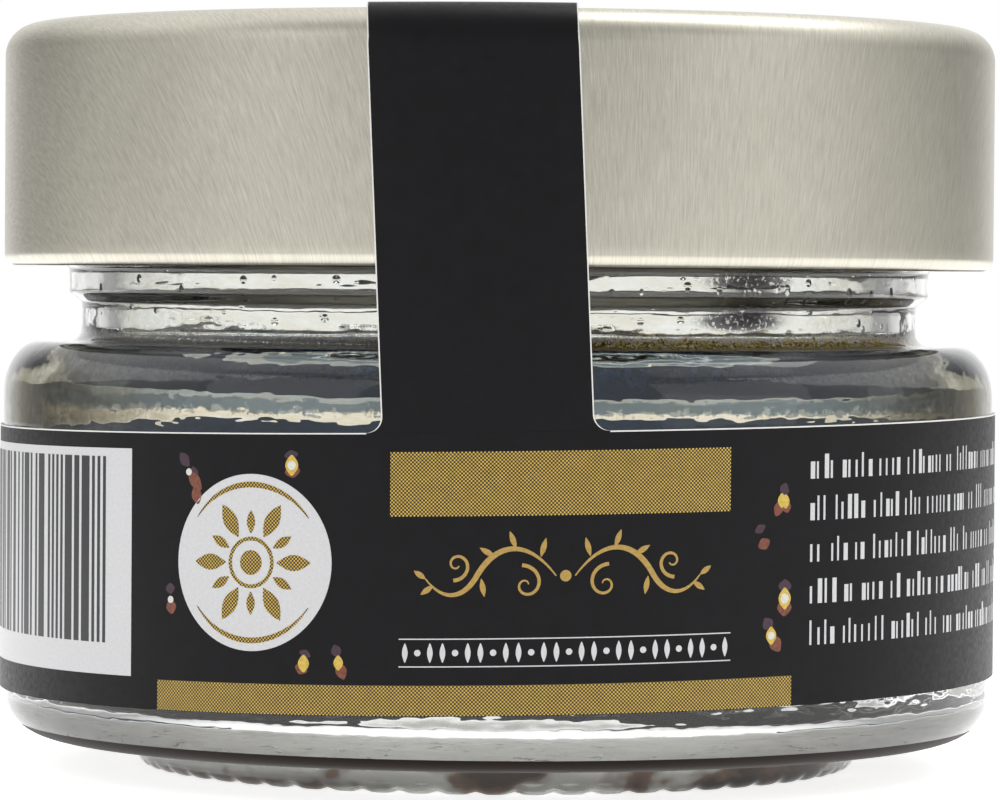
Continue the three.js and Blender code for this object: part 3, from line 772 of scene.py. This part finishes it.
def lid_lug(turn):
    """One lug: a rounded tab bent inwards from the rolled edge."""
    reach = 25.85
    width = 9
    low = LID_BOTTOM + 0.25
    high = LID_BOTTOM + 0.95
    outer = LID_RADIUS - CURL_RADIUS
    steps = 16
    rings = []
    for step in range(steps + 1):
        share = step / steps
        angle = turn + (width / LID_RADIUS) * (share - 0.5)
        inner = outer - (outer - reach) * (1 - abs(2 * share - 1) ** 4) - 0.02
        rings.append([(inner, high - 0.1), (inner + 0.2, high), (outer, high), (outer, low), (inner, low)])
        rings[-1] = [on_circle(radius, angle, height) for radius, height in rings[-1]]
    return rings


def loft(rings, offset):
    """Points and faces through rings of equal count, closed at both ends."""
    count = len(rings[0])
    points = [point for ring in rings for point in ring]
    faces = []
    for ring in range(len(rings) - 1):
        for corner in range(count):
            after = (corner + 1) % count
            low = offset + ring * count
            high = low + count
            faces.append([low + corner, low + after, high + after, high + corner])
    faces.append([offset + corner for corner in reversed(range(count))])
    last = offset + (len(rings) - 1) * count
    faces.append([last + corner for corner in range(count)])
    return points, faces


def add_lid(materials):
    points, faces = revolve(lid_profile(), 288)
    slots = []
    for face in faces:
        middle = sum((Vector(points[corner]) for corner in face), Vector()) / len(face)
        radius = math.hypot(middle.x, middle.y)
        in_curl = middle.z < LID_BOTTOM + 2 * CURL_RADIUS
        # Slot 2, the curl's underside, takes the painted shade.
        under = middle.z < LID_BOTTOM + 0.08 and radius < LID_RADIUS - 0.2
        inner = radius < LID_RADIUS - LID_SHEET + 0.05 and middle.z < LID_TOP - PANEL_STEP - 0.2
        inner = inner or (in_curl and radius < LID_RADIUS - CURL_RADIUS)
        slots.append(2 if under else 1 if inner else 0)
    for index in range(THREAD_STARTS):
        turn = 2 * math.pi * index / THREAD_STARTS + math.radians(40)
        more_points, more_faces = loft(lid_lug(turn), len(points))
        points += more_points
        faces += more_faces
        slots += [1] * len(more_faces)
    return make_piece(
        "drawn_lid",
        points,
        faces,
        materials,
        face_slots=slots,
        uvs=drawn_sheet_uvs(points),
        stands_for=["lid"],
    )


def add_sealing_ring(material):
    half = (seal_high.z - seal_low.z) / 2
    middle = (seal_high.z + seal_low.z) / 2
    outer = seal_high.x
    inner = PANEL_RADIUS + PANEL_SLOPE + 0.1
    edge = 0.3
    profile = []
    for radius, height, start in (
        (inner + edge, middle - half + edge, 180),
        (outer - edge, middle - half + edge, 270),
        (outer - edge, middle + half - edge, 0),
        (inner + edge, middle + half - edge, 90),
    ):
        profile += arc(radius, height, edge, edge, start, start + 90, 4)
    profile.append(profile[0])
    points, faces = revolve(profile, 192)
    return make_piece("compound_ring", points, faces, [material], stands_for=["sealing_ring"])


# The label


def band_point(along, height, lift):
    """A place on the band: along it from the front, up from its lower edge, and off its outer face."""
    angle = along / LABEL_RADIUS
    return on_circle(LABEL_RADIUS - FILM + lift, angle, BAND_BOTTOM + height + BAND_CLIMB * math.sin(angle))


def lid_top_at(radius):
    return LID_TOP - PANEL_STEP * (1 - ease((radius - PANEL_RADIUS + 0.5) / (PANEL_SLOPE + 0.7)))


def strip_point(travel, sideways, lift):
    """A place on the strip: travel is along the paper from the band's upper edge."""
    corner_centre = LID_RADIUS - LID_CORNER
    climb_end = LID_TOP - LID_CORNER - BAND_TOP
    bend = LID_CORNER * math.pi / 2
    rise = min(travel, climb_end + LID_CORNER)
    across = STRIP_CENTRE + sideways - STRIP_LEAN * rise
    angle = across / PAPER_RADIUS
    if travel <= climb_end:
        settled = BAND_CLIMB * math.sin(angle) * ease(1 - travel / 8)
        glued = 0.06 * ease(1 - travel / 1.2)
        return on_circle(PAPER_RADIUS + lift - glued * (lift == 0), angle, BAND_TOP + travel + settled)
    x = PAPER_RADIUS * math.sin(angle)
    clear = PAPER_RADIUS - LID_RADIUS
    clear += (TOP_CLEAR - clear) * ease((travel - climb_end) / bend)
    if travel <= climb_end + bend:
        tilt = (travel - climb_end) / LID_CORNER
        radius = corner_centre + (LID_CORNER + clear + lift) * math.cos(tilt)
        height = LID_TOP - LID_CORNER + (LID_CORNER + clear + lift) * math.sin(tilt)
        return (x, -math.sqrt(radius**2 - x**2), height)
    radius = corner_centre - (travel - climb_end - bend)
    ring = max(radius, PANEL_RADIUS - PANEL_SLOPE)
    y = ring - radius - math.sqrt(ring**2 - x**2)
    return (x, y, lid_top_at(math.hypot(x, y)) + clear + lift)


def strip_length():
    return LID_TOP - LID_CORNER - BAND_TOP + LID_CORNER * math.pi / 2 + LID_RADIUS - LID_CORNER - STRIP_END


def strip_half_width(travel):
    """Half the strip's width: flared into the band below, rounded at its far end."""
    end_radius = 1.5
    rest = strip_length() - travel
    if travel < STRIP_FILLET:
        return STRIP_HALF + STRIP_FILLET - math.sqrt(STRIP_FILLET**2 - (STRIP_FILLET - travel) ** 2)
    if rest < end_radius:
        return STRIP_HALF - end_radius + math.sqrt(max(0.0, end_radius**2 - (end_radius - rest) ** 2))
    return STRIP_HALF


def strip_columns(travel, count):
    """Places across the strip, with a narrow white margin at each side."""
    half = strip_half_width(travel)
    inner = half - WHITE_MARGIN
    middle = [inner * (2 * step / (count - 1) - 1) for step in range(count)]
    return [-half, *middle, half]


def strip_travels():
    travels = [STRIP_FILLET * (1 - math.cos(math.radians(90 * step / 10))) for step in range(1, 11)]
    while travels[-1] < strip_length() - 2.0:
        travels.append(travels[-1] + 0.35)
    last = strip_length()
    travels += [last - 1.5 * (1 - math.sin(math.radians(90 * step / 8))) for step in range(9)]
    return travels


def label_sheet():
    """Grids of place on paper and of points on both faces for the band and for the strip."""
    inner_columns = 24
    junction = strip_columns(0, inner_columns)
    strip_angles = [(STRIP_CENTRE + place) / LABEL_RADIUS for place in junction]
    step = math.radians(0.7)
    left_count = int((strip_angles[0] + BAND_END) / step)
    left = [-BAND_END + (strip_angles[0] + BAND_END) * index / left_count for index in range(left_count)]
    right_count = int((BAND_END - strip_angles[-1]) / step)
    right_span = BAND_END - strip_angles[-1]
    right = [strip_angles[-1] + right_span * (index + 1) / right_count for index in range(right_count)]
    angles = [*left, *strip_angles, *right]
    heights = [0, WHITE_MARGIN * 0.7, 2, 4, 6, 8, 10, 12, BAND_HEIGHT - WHITE_MARGIN, BAND_HEIGHT]
    glued = 0.06
    band = [
        [
            (
                (angle * LABEL_RADIUS, height),
                band_point(angle * LABEL_RADIUS, height, 0),
                band_point(angle * LABEL_RADIUS, height, -PAPER - glued),
            )
            for angle in angles
        ]
        for height in heights
    ]
    strip = [band[-1][left_count : left_count + len(junction)]]
    for travel in strip_travels():
        row = []
        for place in strip_columns(travel, inner_columns):
            flat = (STRIP_CENTRE + place, BAND_HEIGHT + travel)
            row.append((flat, strip_point(travel, place, PAPER), strip_point(travel, place, 0)))
        strip.append(row)
    return band, strip, left_count, len(junction)


def add_label(front, core, back):
    band, strip, offset, width = label_sheet()
    points = []
    uvs = []
    index = {}

    def number(cell):
        if id(cell) not in index:
            index[id(cell)] = len(points)
            points.extend(cell[1:])
            uvs.extend([cell[0], cell[0]])
        return index[id(cell)]

    faces = []
    slots = []
    edges = {}

    def add_quad(cells, slot):
        corners = [number(cell) for cell in cells]
        faces.append(corners)
        slots.append(slot)
        faces.append([corner + 1 for corner in reversed(corners)])
        slots.append(2)
        for start, stop in zip(corners, corners[1:] + corners[:1]):
            if (stop, start) in edges:
                del edges[(stop, start)]
            else:
                edges[(start, stop)] = True

    def add_grid(grid, is_white):
        for row in range(len(grid) - 1):
            for column in range(len(grid[row]) - 1):
                low, high = grid[row], grid[row + 1]
                cells = [low[column], low[column + 1], high[column + 1], high[column]]
                add_quad(cells, 1 if is_white(row, column) else 0)

    last_row = len(band) - 2
    add_grid(band, lambda row, column: row == last_row and not offset <= column < offset + width - 1)
    add_grid(strip, lambda row, column: column in (0, width - 2))
    for start, stop in edges:
        faces.append([start, start + 1, stop + 1, stop])
        slots.append(1)
    return make_piece(
        "paper_label", points, faces, [front, core, back], face_slots=slots, uvs=uvs, stands_for=["label"]
    )


# The print on the band: thin closed films of ink, set a little into the paper


class Print:
    def __init__(self, name, material, top=FILM / 2):
        self.name = name
        self.material = material
        self.top = top
        self.points = []
        self.faces = []
        self.uvs = []

    def add_grid(self, rows, closed=False):
        """Adds a film through rows of places on the band; closed joins the last row to the first."""
        top, sunk = self.top, -0.03
        count = len(rows[0])
        start = len(self.points)
        for row in rows:
            for along, height in row:
                self.points.append(band_point(along, height, top))
                self.points.append(band_point(along, height, sunk))
                self.uvs.extend([(along, height)] * 2)

        def corner(row, column, below):
            return start + 2 * ((row % len(rows)) * count + column) + below

        last = len(rows) if closed else len(rows) - 1
        for row in range(last):
            for column in range(count - 1):
                quad = [(row, column), (row, column + 1), (row + 1, column + 1), (row + 1, column)]
                self.faces.append([corner(*place, 0) for place in quad])
                self.faces.append([corner(*place, 1) for place in reversed(quad)])
            for column, way in ((0, 1), (count - 1, -1)):
                wall = [(row, column, 0), (row + 1, column, 0), (row + 1, column, 1), (row, column, 1)][::way]
                self.faces.append([corner(*place) for place in wall])
        if not closed:
            for row, way in ((0, -1), (last, 1)):
                for column in range(count - 1):
                    wall = [(row, column, 0), (row, column + 1, 0), (row, column + 1, 1), (row, column, 1)][::-way]
                    self.faces.append([corner(*place) for place in wall])

    def rectangle(self, left, right, low, high, step=0.5):
        count = max(1, math.ceil((right - left) / step))
        places = [left + (right - left) * index / count for index in range(count + 1)]
        self.add_grid([[(place, low) for place in places], [(place, high) for place in places]])

    def disc(self, along, height, radius, rows=24, columns=10):
        grid = []
        for row in range(rows + 1):
            angle = math.radians(-89.5 + 179 * row / rows)
            half = radius * math.cos(angle)
            up = height + radius * math.sin(angle)
            grid.append([(along + half * (2 * column / columns - 1), up) for column in range(columns + 1)])
        self.add_grid(grid)

    def ring(self, along, height, radius, width, steps=96):
        grid = []
        for step in range(steps):
            angle = 2 * math.pi * step / steps
            grid.append(
                [
                    (along + reach * math.cos(angle), height + reach * math.sin(angle))
                    for reach in (radius + width / 2, radius - width / 2)
                ]
            )
        self.add_grid([row[::-1] for row in grid][::-1], closed=True)

    def stroke(self, centres, widths):
        """A pen stroke along centres, as wide at each as widths says."""
        grid = []
        for index, (centre, width) in enumerate(zip(centres, widths)):
            before = centres[max(index - 1, 0)]
            after = centres[min(index + 1, len(centres) - 1)]
            ahead = Vector((after[0] - before[0], after[1] - before[1])).normalized()
            side = Vector((-ahead.y, ahead.x)) * width / 2
            grid.append([(centre[0] + side.x, centre[1] + side.y), (centre[0] - side.x, centre[1] - side.y)])
        self.add_grid(grid)

    def make(self):
        return make_piece(self.name, self.points, self.faces, [self.material], uvs=self.uvs)


def bezier(start, first, second, stop, steps):
    points = []
    for step in range(steps + 1):
        t = step / steps
        weights = ((1 - t) ** 3, 3 * t * (1 - t) ** 2, 3 * t * t * (1 - t), t**3)
        corners = (start, first, second, stop)
        points.append(tuple(sum(w * c[axis] for w, c in zip(weights, corners)) for axis in (0, 1)))
    return points


def swelling(count, thin, thick):
    """Widths of a pen stroke that is thin at both ends."""
    return [thin + (thick - thin) * math.sin(math.pi * index / (count - 1)) for index in range(count)]


def spiral(centre, start_angle, turns, outer, inner, steps):
    points = []
    for step in range(steps + 1):
        share = step / steps
        reach = outer * (inner / outer) ** share
        angle = start_angle + 2 * math.pi * turns * share
        points.append((centre[0] + reach * math.cos(angle), centre[1] + reach * math.sin(angle)))
    return points


def leaf(ink, base, angle, length, width):
    count = 11
    centres = [
        (base[0] + length * step / (count - 1) * math.cos(angle), base[1] + length * step / (count - 1) * math.sin(angle))
        for step in range(count)
    ]
    ink.stroke(centres, swelling(count, 0.03, width))


def draw_scroll(ink, middle, height):
    """A mirrored scroll of vines with leaves."""
    for side in (-1, 1):
        def place(x, y):
            return (middle + side * x, height + y)

        vine = bezier(place(0.5, -0.1), place(2.0, 1.9), place(3.6, 1.7), place(4.6, 0.0), 24)
        vine += bezier(place(4.6, 0.0), place(5.3, -1.3), place(6.4, -1.4), place(7.3, -0.2), 18)[1:]
        ink.stroke(vine, swelling(len(vine), 0.07, 0.3))
        for x, y, start, turns, outer in (
            (2.1, -0.55, 80, 1.25, 1.05),
            (5.7, 0.55, -80, -1.2, 0.85),
        ):
            begin = math.radians(start if side > 0 else 180 - start)
            curl = spiral(place(x, y), begin, turns * side, outer, 0.16, 40)
            ink.stroke(curl, [0.2 - 0.13 * index / 40 for index in range(41)])
        for x, y, angle, length in (
            (1.3, 0.9, 105, 1.0),
            (2.6, 1.35, 70, 0.95),
            (3.7, 0.95, 30, 0.9),
            (4.4, -0.2, -100, 0.95),
            (6.9, -0.55, -35, 0.8),
            (7.3, -0.2, 35, 0.75),
        ):
            turned = math.radians(angle if side > 0 else 180 - angle)
            leaf(ink, place(x, y), turned, length, 0.3)
    ink.disc(middle, height - 0.1, 0.3, rows=12, columns=4)


def draw_rule(ink, left, right, height):
    """A line ornament: upright lozenges and dots in turn between two thin rules."""
    count = 27
    for index in range(count):
        along = left + (right - left) * (index + 0.5) / count
        if index % 3 == 1:
            ink.disc(along, height, 0.17, rows=10, columns=3)
        else:
            centres = [(along, height - 0.5 + 1.0 * step / 8) for step in range(9)]
            ink.stroke(centres, swelling(9, 0.04, 0.3))
    for offset in (-0.72, 0.72):
        ink.rectangle(left, right, height + offset - 0.03, height + offset + 0.03)


def draw_crescent(ink, along, height, radius, width, start, stop):
    """An arc of a circle, swelling towards its middle."""
    steps = 40
    angles = [math.radians(start + (stop - start) * step / steps) for step in range(steps + 1)]
    centres = [(along + radius * math.cos(angle), height + radius * math.sin(angle)) for angle in angles]
    ink.stroke(centres, swelling(steps + 1, 0.05, width))


def draw_rosette(gold, along, height, radius):
    """Two crescents and a rosette of leaves on the white disc."""
    draw_crescent(gold, along, height, radius * 0.88, 0.3, 35, 145)
    draw_crescent(gold, along, height, radius * 0.88, 0.3, 215, 325)
    gold.ring(along, height, radius * 0.27, 0.2)
    petals = 12
    for index in range(petals):
        angle = 2 * math.pi * index / petals
        long_one = index % 2 == 0
        start = radius * 0.33
        base = (along + start * math.cos(angle), height + start * math.sin(angle))
        leaf(gold, base, angle, radius * (0.42 if long_one else 0.26), 0.85 if long_one else 0.5)
    gold.disc(along, height, radius * 0.14, rows=14, columns=5)


def draw_bars(ink, left, right, low, high, rng):
    """Plain upright bars of a few widths."""
    module = 0.2475
    along = left
    while along < right - module:
        width = module * rng.choice((1, 1, 2, 3))
        gap = module * rng.choice((1, 1, 2))
        ink.rectangle(along, min(along + width, right), low, high)
        along += width + gap


def draw_hatching(ink, left, right, height, tall, rng):
    """A row of thin upright ticks in groups."""
    along = left
    while along < right:
        for _ in range(rng.randint(2, 8)):
            tick = tall * rng.choice((0.7, 0.7, 0.72, 1.0))
            ink.rectangle(along, along + rng.choice((0.13, 0.15, 0.3)), height, height + tick, step=1)
            along += rng.choice((0.42, 0.48, 0.55))
            if along >= right:
                return
        along += 0.45


def draw_specks(inks, rng):
    """Soft specks of light, each with a warm rim and tail, scattered in the bare black places."""
    rim, tail, heart, smudge = inks
    zones = (
        (-19.0, -16.6, 11.9, 13.6, 2),
        (-11.4, -9.0, 12.9, 13.7, 1),
        (-18.7, -18.5, 4.0, 6.6, 1),
        (-11.5, -7.2, 2.4, 2.9, 2),
        (13.9, 16.1, 8.4, 13.4, 3),
        (14.0, 16.1, 2.9, 6.6, 2),
    )
    for left, right, low, high, count in zones:
        for _ in range(count):
            along = rng.uniform(left, right)
            height = rng.uniform(low, high)
            size = rng.uniform(0.42, 0.72)
            lean = rng.uniform(-0.9, 0.9)
            reach = rng.uniform(0.5, 1.0)
            down = [(along + lean * reach * t / 6, max(0.1, height - reach * t / 6)) for t in range(7)]
            tail.stroke(down, swelling(7, 0.12, size * 1.3))
            up = [(along - lean * reach * t / 8, min(BAND_HEIGHT - 0.1, height + 0.3 + reach * t / 8)) for t in range(7)]
            smudge.stroke(up, swelling(7, 0.1, size * 1.2))
            if rng.random() < 0.7:
                rim.stroke([(along, height - size * 0.8 + size * 1.6 * t / 8) for t in range(9)], swelling(9, 0.1, size * 1.1))
            if rng.random() < 0.5:
                heart.disc(along, height, size * 0.36, rows=8, columns=3)


def add_prints():
    rng = random.Random(27)
    screen_ink = gold_screen_material()
    gold_ink = ink_material("gold_ink", (0.36, 0.22, 0.045), (0.46, 0.30, 0.07))
    white_ink = ink_material("white_ink", (0.57, 0.57, 0.58), (0.63, 0.63, 0.64))
    black_ink = ink_material("black_ink", (0.012, 0.012, 0.014), (0.018, 0.018, 0.02))
    amber_ink = ink_material("amber_ink", (0.50, 0.33, 0.04), (0.68, 0.50, 0.09))
    rust_ink = ink_material("rust_ink", (0.10, 0.025, 0.012), (0.24, 0.065, 0.03))
    plum_ink = ink_material("plum_ink", (0.022, 0.009, 0.018), (0.055, 0.016, 0.035))
    cream_ink = ink_material("cream_ink", (0.55, 0.55, 0.50), (0.72, 0.72, 0.66))
    screen = Print("print_gold_screen", screen_ink)
    gold = Print("print_gold", gold_ink)
    white = Print("print_white", white_ink)
    plum = Print("print_plum", plum_ink, FILM * 0.3)
    rust = Print("print_rust", rust_ink, FILM * 0.5)
    amber = Print("print_amber", amber_ink, FILM * 0.7)
    cream = Print("print_cream", cream_ink, FILM * 0.9)
    bars = Print("print_bars", black_ink, FILM)
    rosette = Print("print_rosette", screen_ink, FILM)
    screen.rectangle(-5.6, 12.65, 10.4, 13.75)
    screen.rectangle(-19.5, 16.5, 0.02, 1.6)
    draw_scroll(gold, 3.6, 7.35)
    draw_rule(white, -5.1, 12.7, 3.3)
    white.disc(-13.4, 7.95, 4.65, rows=48, columns=20)
    draw_rosette(rosette, -13.4, 7.95, 4.65)
    white.rectangle(-50.2, -21.5, 1.7, 13.85)
    draw_bars(bars, -47.4, -23.5, 3.4, 13.4, rng)
    for row in range(5):
        draw_hatching(white, 17.7, 78, 11.95 - 2.2 * row, 1.3, rng)
        draw_hatching(white, -78, -53, 11.95 - 2.2 * row, 1.3, rng)
    draw_specks([amber, rust, cream, plum], rng)
    for ink in (screen, gold, white, plum, rust, amber, cream, bars, rosette):
        ink.make()


# What the jar holds


def truffle_lobes(direction, seed):
    x, y, z = direction
    broad = math.sin(2.3 * x + seed) * math.cos(2.1 * y - seed) + 0.6 * math.sin(2.7 * z + 2 * seed)
    return 1 + 0.055 * broad


def add_truffle(name, node, seed, material):
    """A lumpy body covered with low many-sided warts that meet in cracks, filling its node's box."""
    low, high = box_mm(node)
    size = high - low
    radius = (size.x + size.y) / 4
    squat = size.z / (2 * radius)
    wart_size = 2.3
    wart_height = 1.0
    shape = bmesh.new()
    bmesh.ops.create_icosphere(shape, subdivisions=6, radius=1)
    offset = Vector((seed * 13.7, seed * 5.1, seed * 9.3))
    for vertex in shape.verts:
        direction = vertex.co.normalized()
        body = direction * radius * truffle_lobes(direction, seed)
        flat = Vector((body.x, body.y, body.z * squat))
        bend = noise.noise_vector(flat * 0.35 + offset) * 0.7
        distances = noise.voronoi((flat + bend) / wart_size + offset)[0]
        wart = min(1.0, (distances[1] - distances[0]) * 1.5)
        crumb = noise.noise(flat * 1.3 + offset) * 0.16 + noise.noise(flat * 3.5 + offset) * 0.05
        outwards = Vector((direction.x * squat, direction.y * squat, direction.z)).normalized()
        vertex.co = flat + outwards * (wart_height * (wart - 0.45) + crumb)
    least = [min(vertex.co[axis] for vertex in shape.verts) for axis in range(3)]
    most = [max(vertex.co[axis] for vertex in shape.verts) for axis in range(3)]
    for vertex in shape.verts:
        shares = [(vertex.co[axis] - least[axis]) / (most[axis] - least[axis]) for axis in range(3)]
        vertex.co = Vector([low[axis] + size[axis] * shares[axis] for axis in range(3)]) * MM
    mesh = bpy.data.meshes.new(name)
    shape.to_mesh(mesh)
    shape.free()
    mesh.polygons.foreach_set("use_smooth", [True] * len(mesh.polygons))
    mesh.materials.append(material)
    piece = bpy.data.objects.new(name, mesh)
    bpy.context.scene.collection.objects.link(piece)
    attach(piece, "root")
    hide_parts(node)
    return piece


def add_juice(material):
    """The juice stands a hair clear of the glass, whose faces then mirror as they do, and creeps up at its edge."""
    gap = 0.04
    radius = BODY_RADIUS - WALL - 0.09 - gap
    heel = 2.6
    floor = FLOOR_TOP - 0.3 + gap
    level = juice_high.z
    creep = 0.7
    profile = [(0, floor), (8, floor + 0.05), (15, floor + 0.18), (20, floor + 0.3)]
    profile += arc(radius - heel, FLOOR_TOP + 0.06 + gap + heel, heel, heel, -90, 0, 10)
    profile += [(radius, level + creep)]
    profile += [(radius - 1.6 * (1 - math.cos(t)), level + creep * (1 - math.sin(t))) for t in (0.3, 0.6, 0.9, 1.2, 1.5)]
    profile += [(18, level), (9, level), (0, level)]
    points, faces = revolve(profile, 192)
    return make_piece("juice_pool", points, faces, [material], stands_for=["juice"])


# Floor, light and camera


def add_floor():
    mesh = bpy.data.meshes.new("floor")
    side = 0.24
    mesh.from_pydata([(-side, -side, 0), (side, -side, 0), (side, side, 0), (-side, side, 0)], [], [(0, 1, 2, 3)])
    material, tree, bsdf = new_material("pale_floor")
    bsdf.inputs["Base Color"].default_value = (0.9, 0.9, 0.9, 1)
    bsdf.inputs["Roughness"].default_value = 0.9
    bsdf.inputs["Emission Color"].default_value = (1, 1, 1, 1)
    bsdf.inputs["Emission Strength"].default_value = 0.8
    material.cycles.emission_sampling = "NONE"
    mesh.materials.append(material)
    floor = bpy.data.objects.new("floor", mesh)
    bpy.context.scene.collection.objects.link(floor)


def add_world():
    """A white studio: bright behind and overhead, softer in front, with a darker gap at each far side."""
    world = bpy.data.worlds.new("studio")
    world.use_nodes = True
    tree = world.node_tree
    coordinates = add_node(tree, "ShaderNodeTexCoord")
    direction = add_node(tree, "ShaderNodeSeparateXYZ", {"Vector": coordinates.outputs["Generated"]})
    behind = add_node(tree, "ShaderNodeMapRange", {"Value": direction.outputs["Y"], "From Min": -1.0, "From Max": 1.0})
    around = ramp(
        tree,
        behind.outputs["Result"],
        [(0.0, grey(0.47)), (0.35, grey(0.53)), (0.66, grey(0.55)), (0.74, grey(0.33)), (0.9, grey(0.31)), (0.965, grey(1.1))],
    )
    overhead = ramp(tree, behind.outputs["Result"], [(0.3, grey(0.5)), (0.5, grey(1.15)), (0.85, grey(1.1))])
    above = ramp(tree, direction.outputs["Z"], [(0.25, grey(0.0)), (0.6, grey(1.0))])
    mix = add_node(tree, "ShaderNodeMix", {"Factor": above}, data_type="RGBA")
    tree.links.new(around, mix.inputs["A"])
    tree.links.new(overhead, mix.inputs["B"])
    studio = add_node(tree, "ShaderNodeBackground", {"Color": mix.outputs["Result"], "Strength": 1.0})
    plain = add_node(tree, "ShaderNodeBackground", {"Color": (1, 1, 1, 1), "Strength": 1.0})
    path = add_node(tree, "ShaderNodeLightPath")
    choose = add_node(tree, "ShaderNodeMixShader")
    tree.links.new(path.outputs["Is Camera Ray"], choose.inputs[0])
    tree.links.new(studio.outputs["Background"], choose.inputs[1])
    tree.links.new(plain.outputs["Background"], choose.inputs[2])
    output = tree.nodes.get("World Output") or tree.nodes.new("ShaderNodeOutputWorld")
    tree.links.new(choose.outputs["Shader"], output.inputs["Surface"])
    bpy.context.scene.world = world


def add_softbox(name, place, size, power):
    data = bpy.data.lights.new(name, "AREA")
    data.shape = "RECTANGLE"
    data.size, data.size_y = size
    data.energy = power
    lamp = bpy.data.objects.new(name, data)
    lamp.location = place
    aim = Vector((0, 0, 0.02)) - Vector(place)
    lamp.rotation_mode = "QUATERNION"
    lamp.rotation_quaternion = aim.to_track_quat("-Z", "Y")
    bpy.context.scene.collection.objects.link(lamp)


def add_camera():
    """The camera stands level with the lid's lower edge and looks slightly down."""
    frame_width = 1000
    focal_pixels = 5341
    horizon_above_middle = 129
    data = bpy.data.cameras.new("camera")
    data.sensor_width = 36
    data.lens = focal_pixels * data.sensor_width / frame_width
    camera = bpy.data.objects.new("camera", data)
    pitch = math.atan(horizon_above_middle / focal_pixels)
    roll = math.radians(0.4)
    turn = Matrix.Rotation(math.pi / 2 - pitch, 4, "X") @ Matrix.Rotation(roll, 4, "Z")
    camera.matrix_world = Matrix.Translation((0.00011, -0.305, 0.02805)) @ turn
    bpy.context.scene.collection.objects.link(camera)
    bpy.context.scene.camera = camera


add_camera()
add_world()
add_floor()
add_softbox("softbox_left", (-0.55, -0.45, 0.3), (0.5, 0.4), 0.36)
add_softbox("softbox_right", (0.6, -0.4, 0.25), (0.5, 0.4), 0.32)
add_softbox("softbox_top", (0.2, 0.1, 0.55), (0.3, 0.4), 0.9)

glasses = [glass_material(), inside_glass_material(), stippled_glass_material(), base_painted_light_material()]
add_jar([*glasses, heel_painted_shade_material()])
add_lid([lid_material(), lacquer_material(), curl_painted_shade_material()])
add_sealing_ring(compound_material())
core = plain_paper_material("paper_core", (0.70, 0.69, 0.66), (0.82, 0.81, 0.79), 0.8)
back = plain_paper_material("label_back", (0.012, 0.095, 0.27), (0.02, 0.12, 0.32), 0.55)
add_label(paper_front_material(), core, back)
add_prints()
skin = truffle_material()
for index in range(3):
    add_truffle(f"black_truffle_{index + 1}", f"truffle_{index + 1}", index + 1, skin)
add_juice(juice_material())

bpy.context.scene.view_settings.view_transform = "Standard"
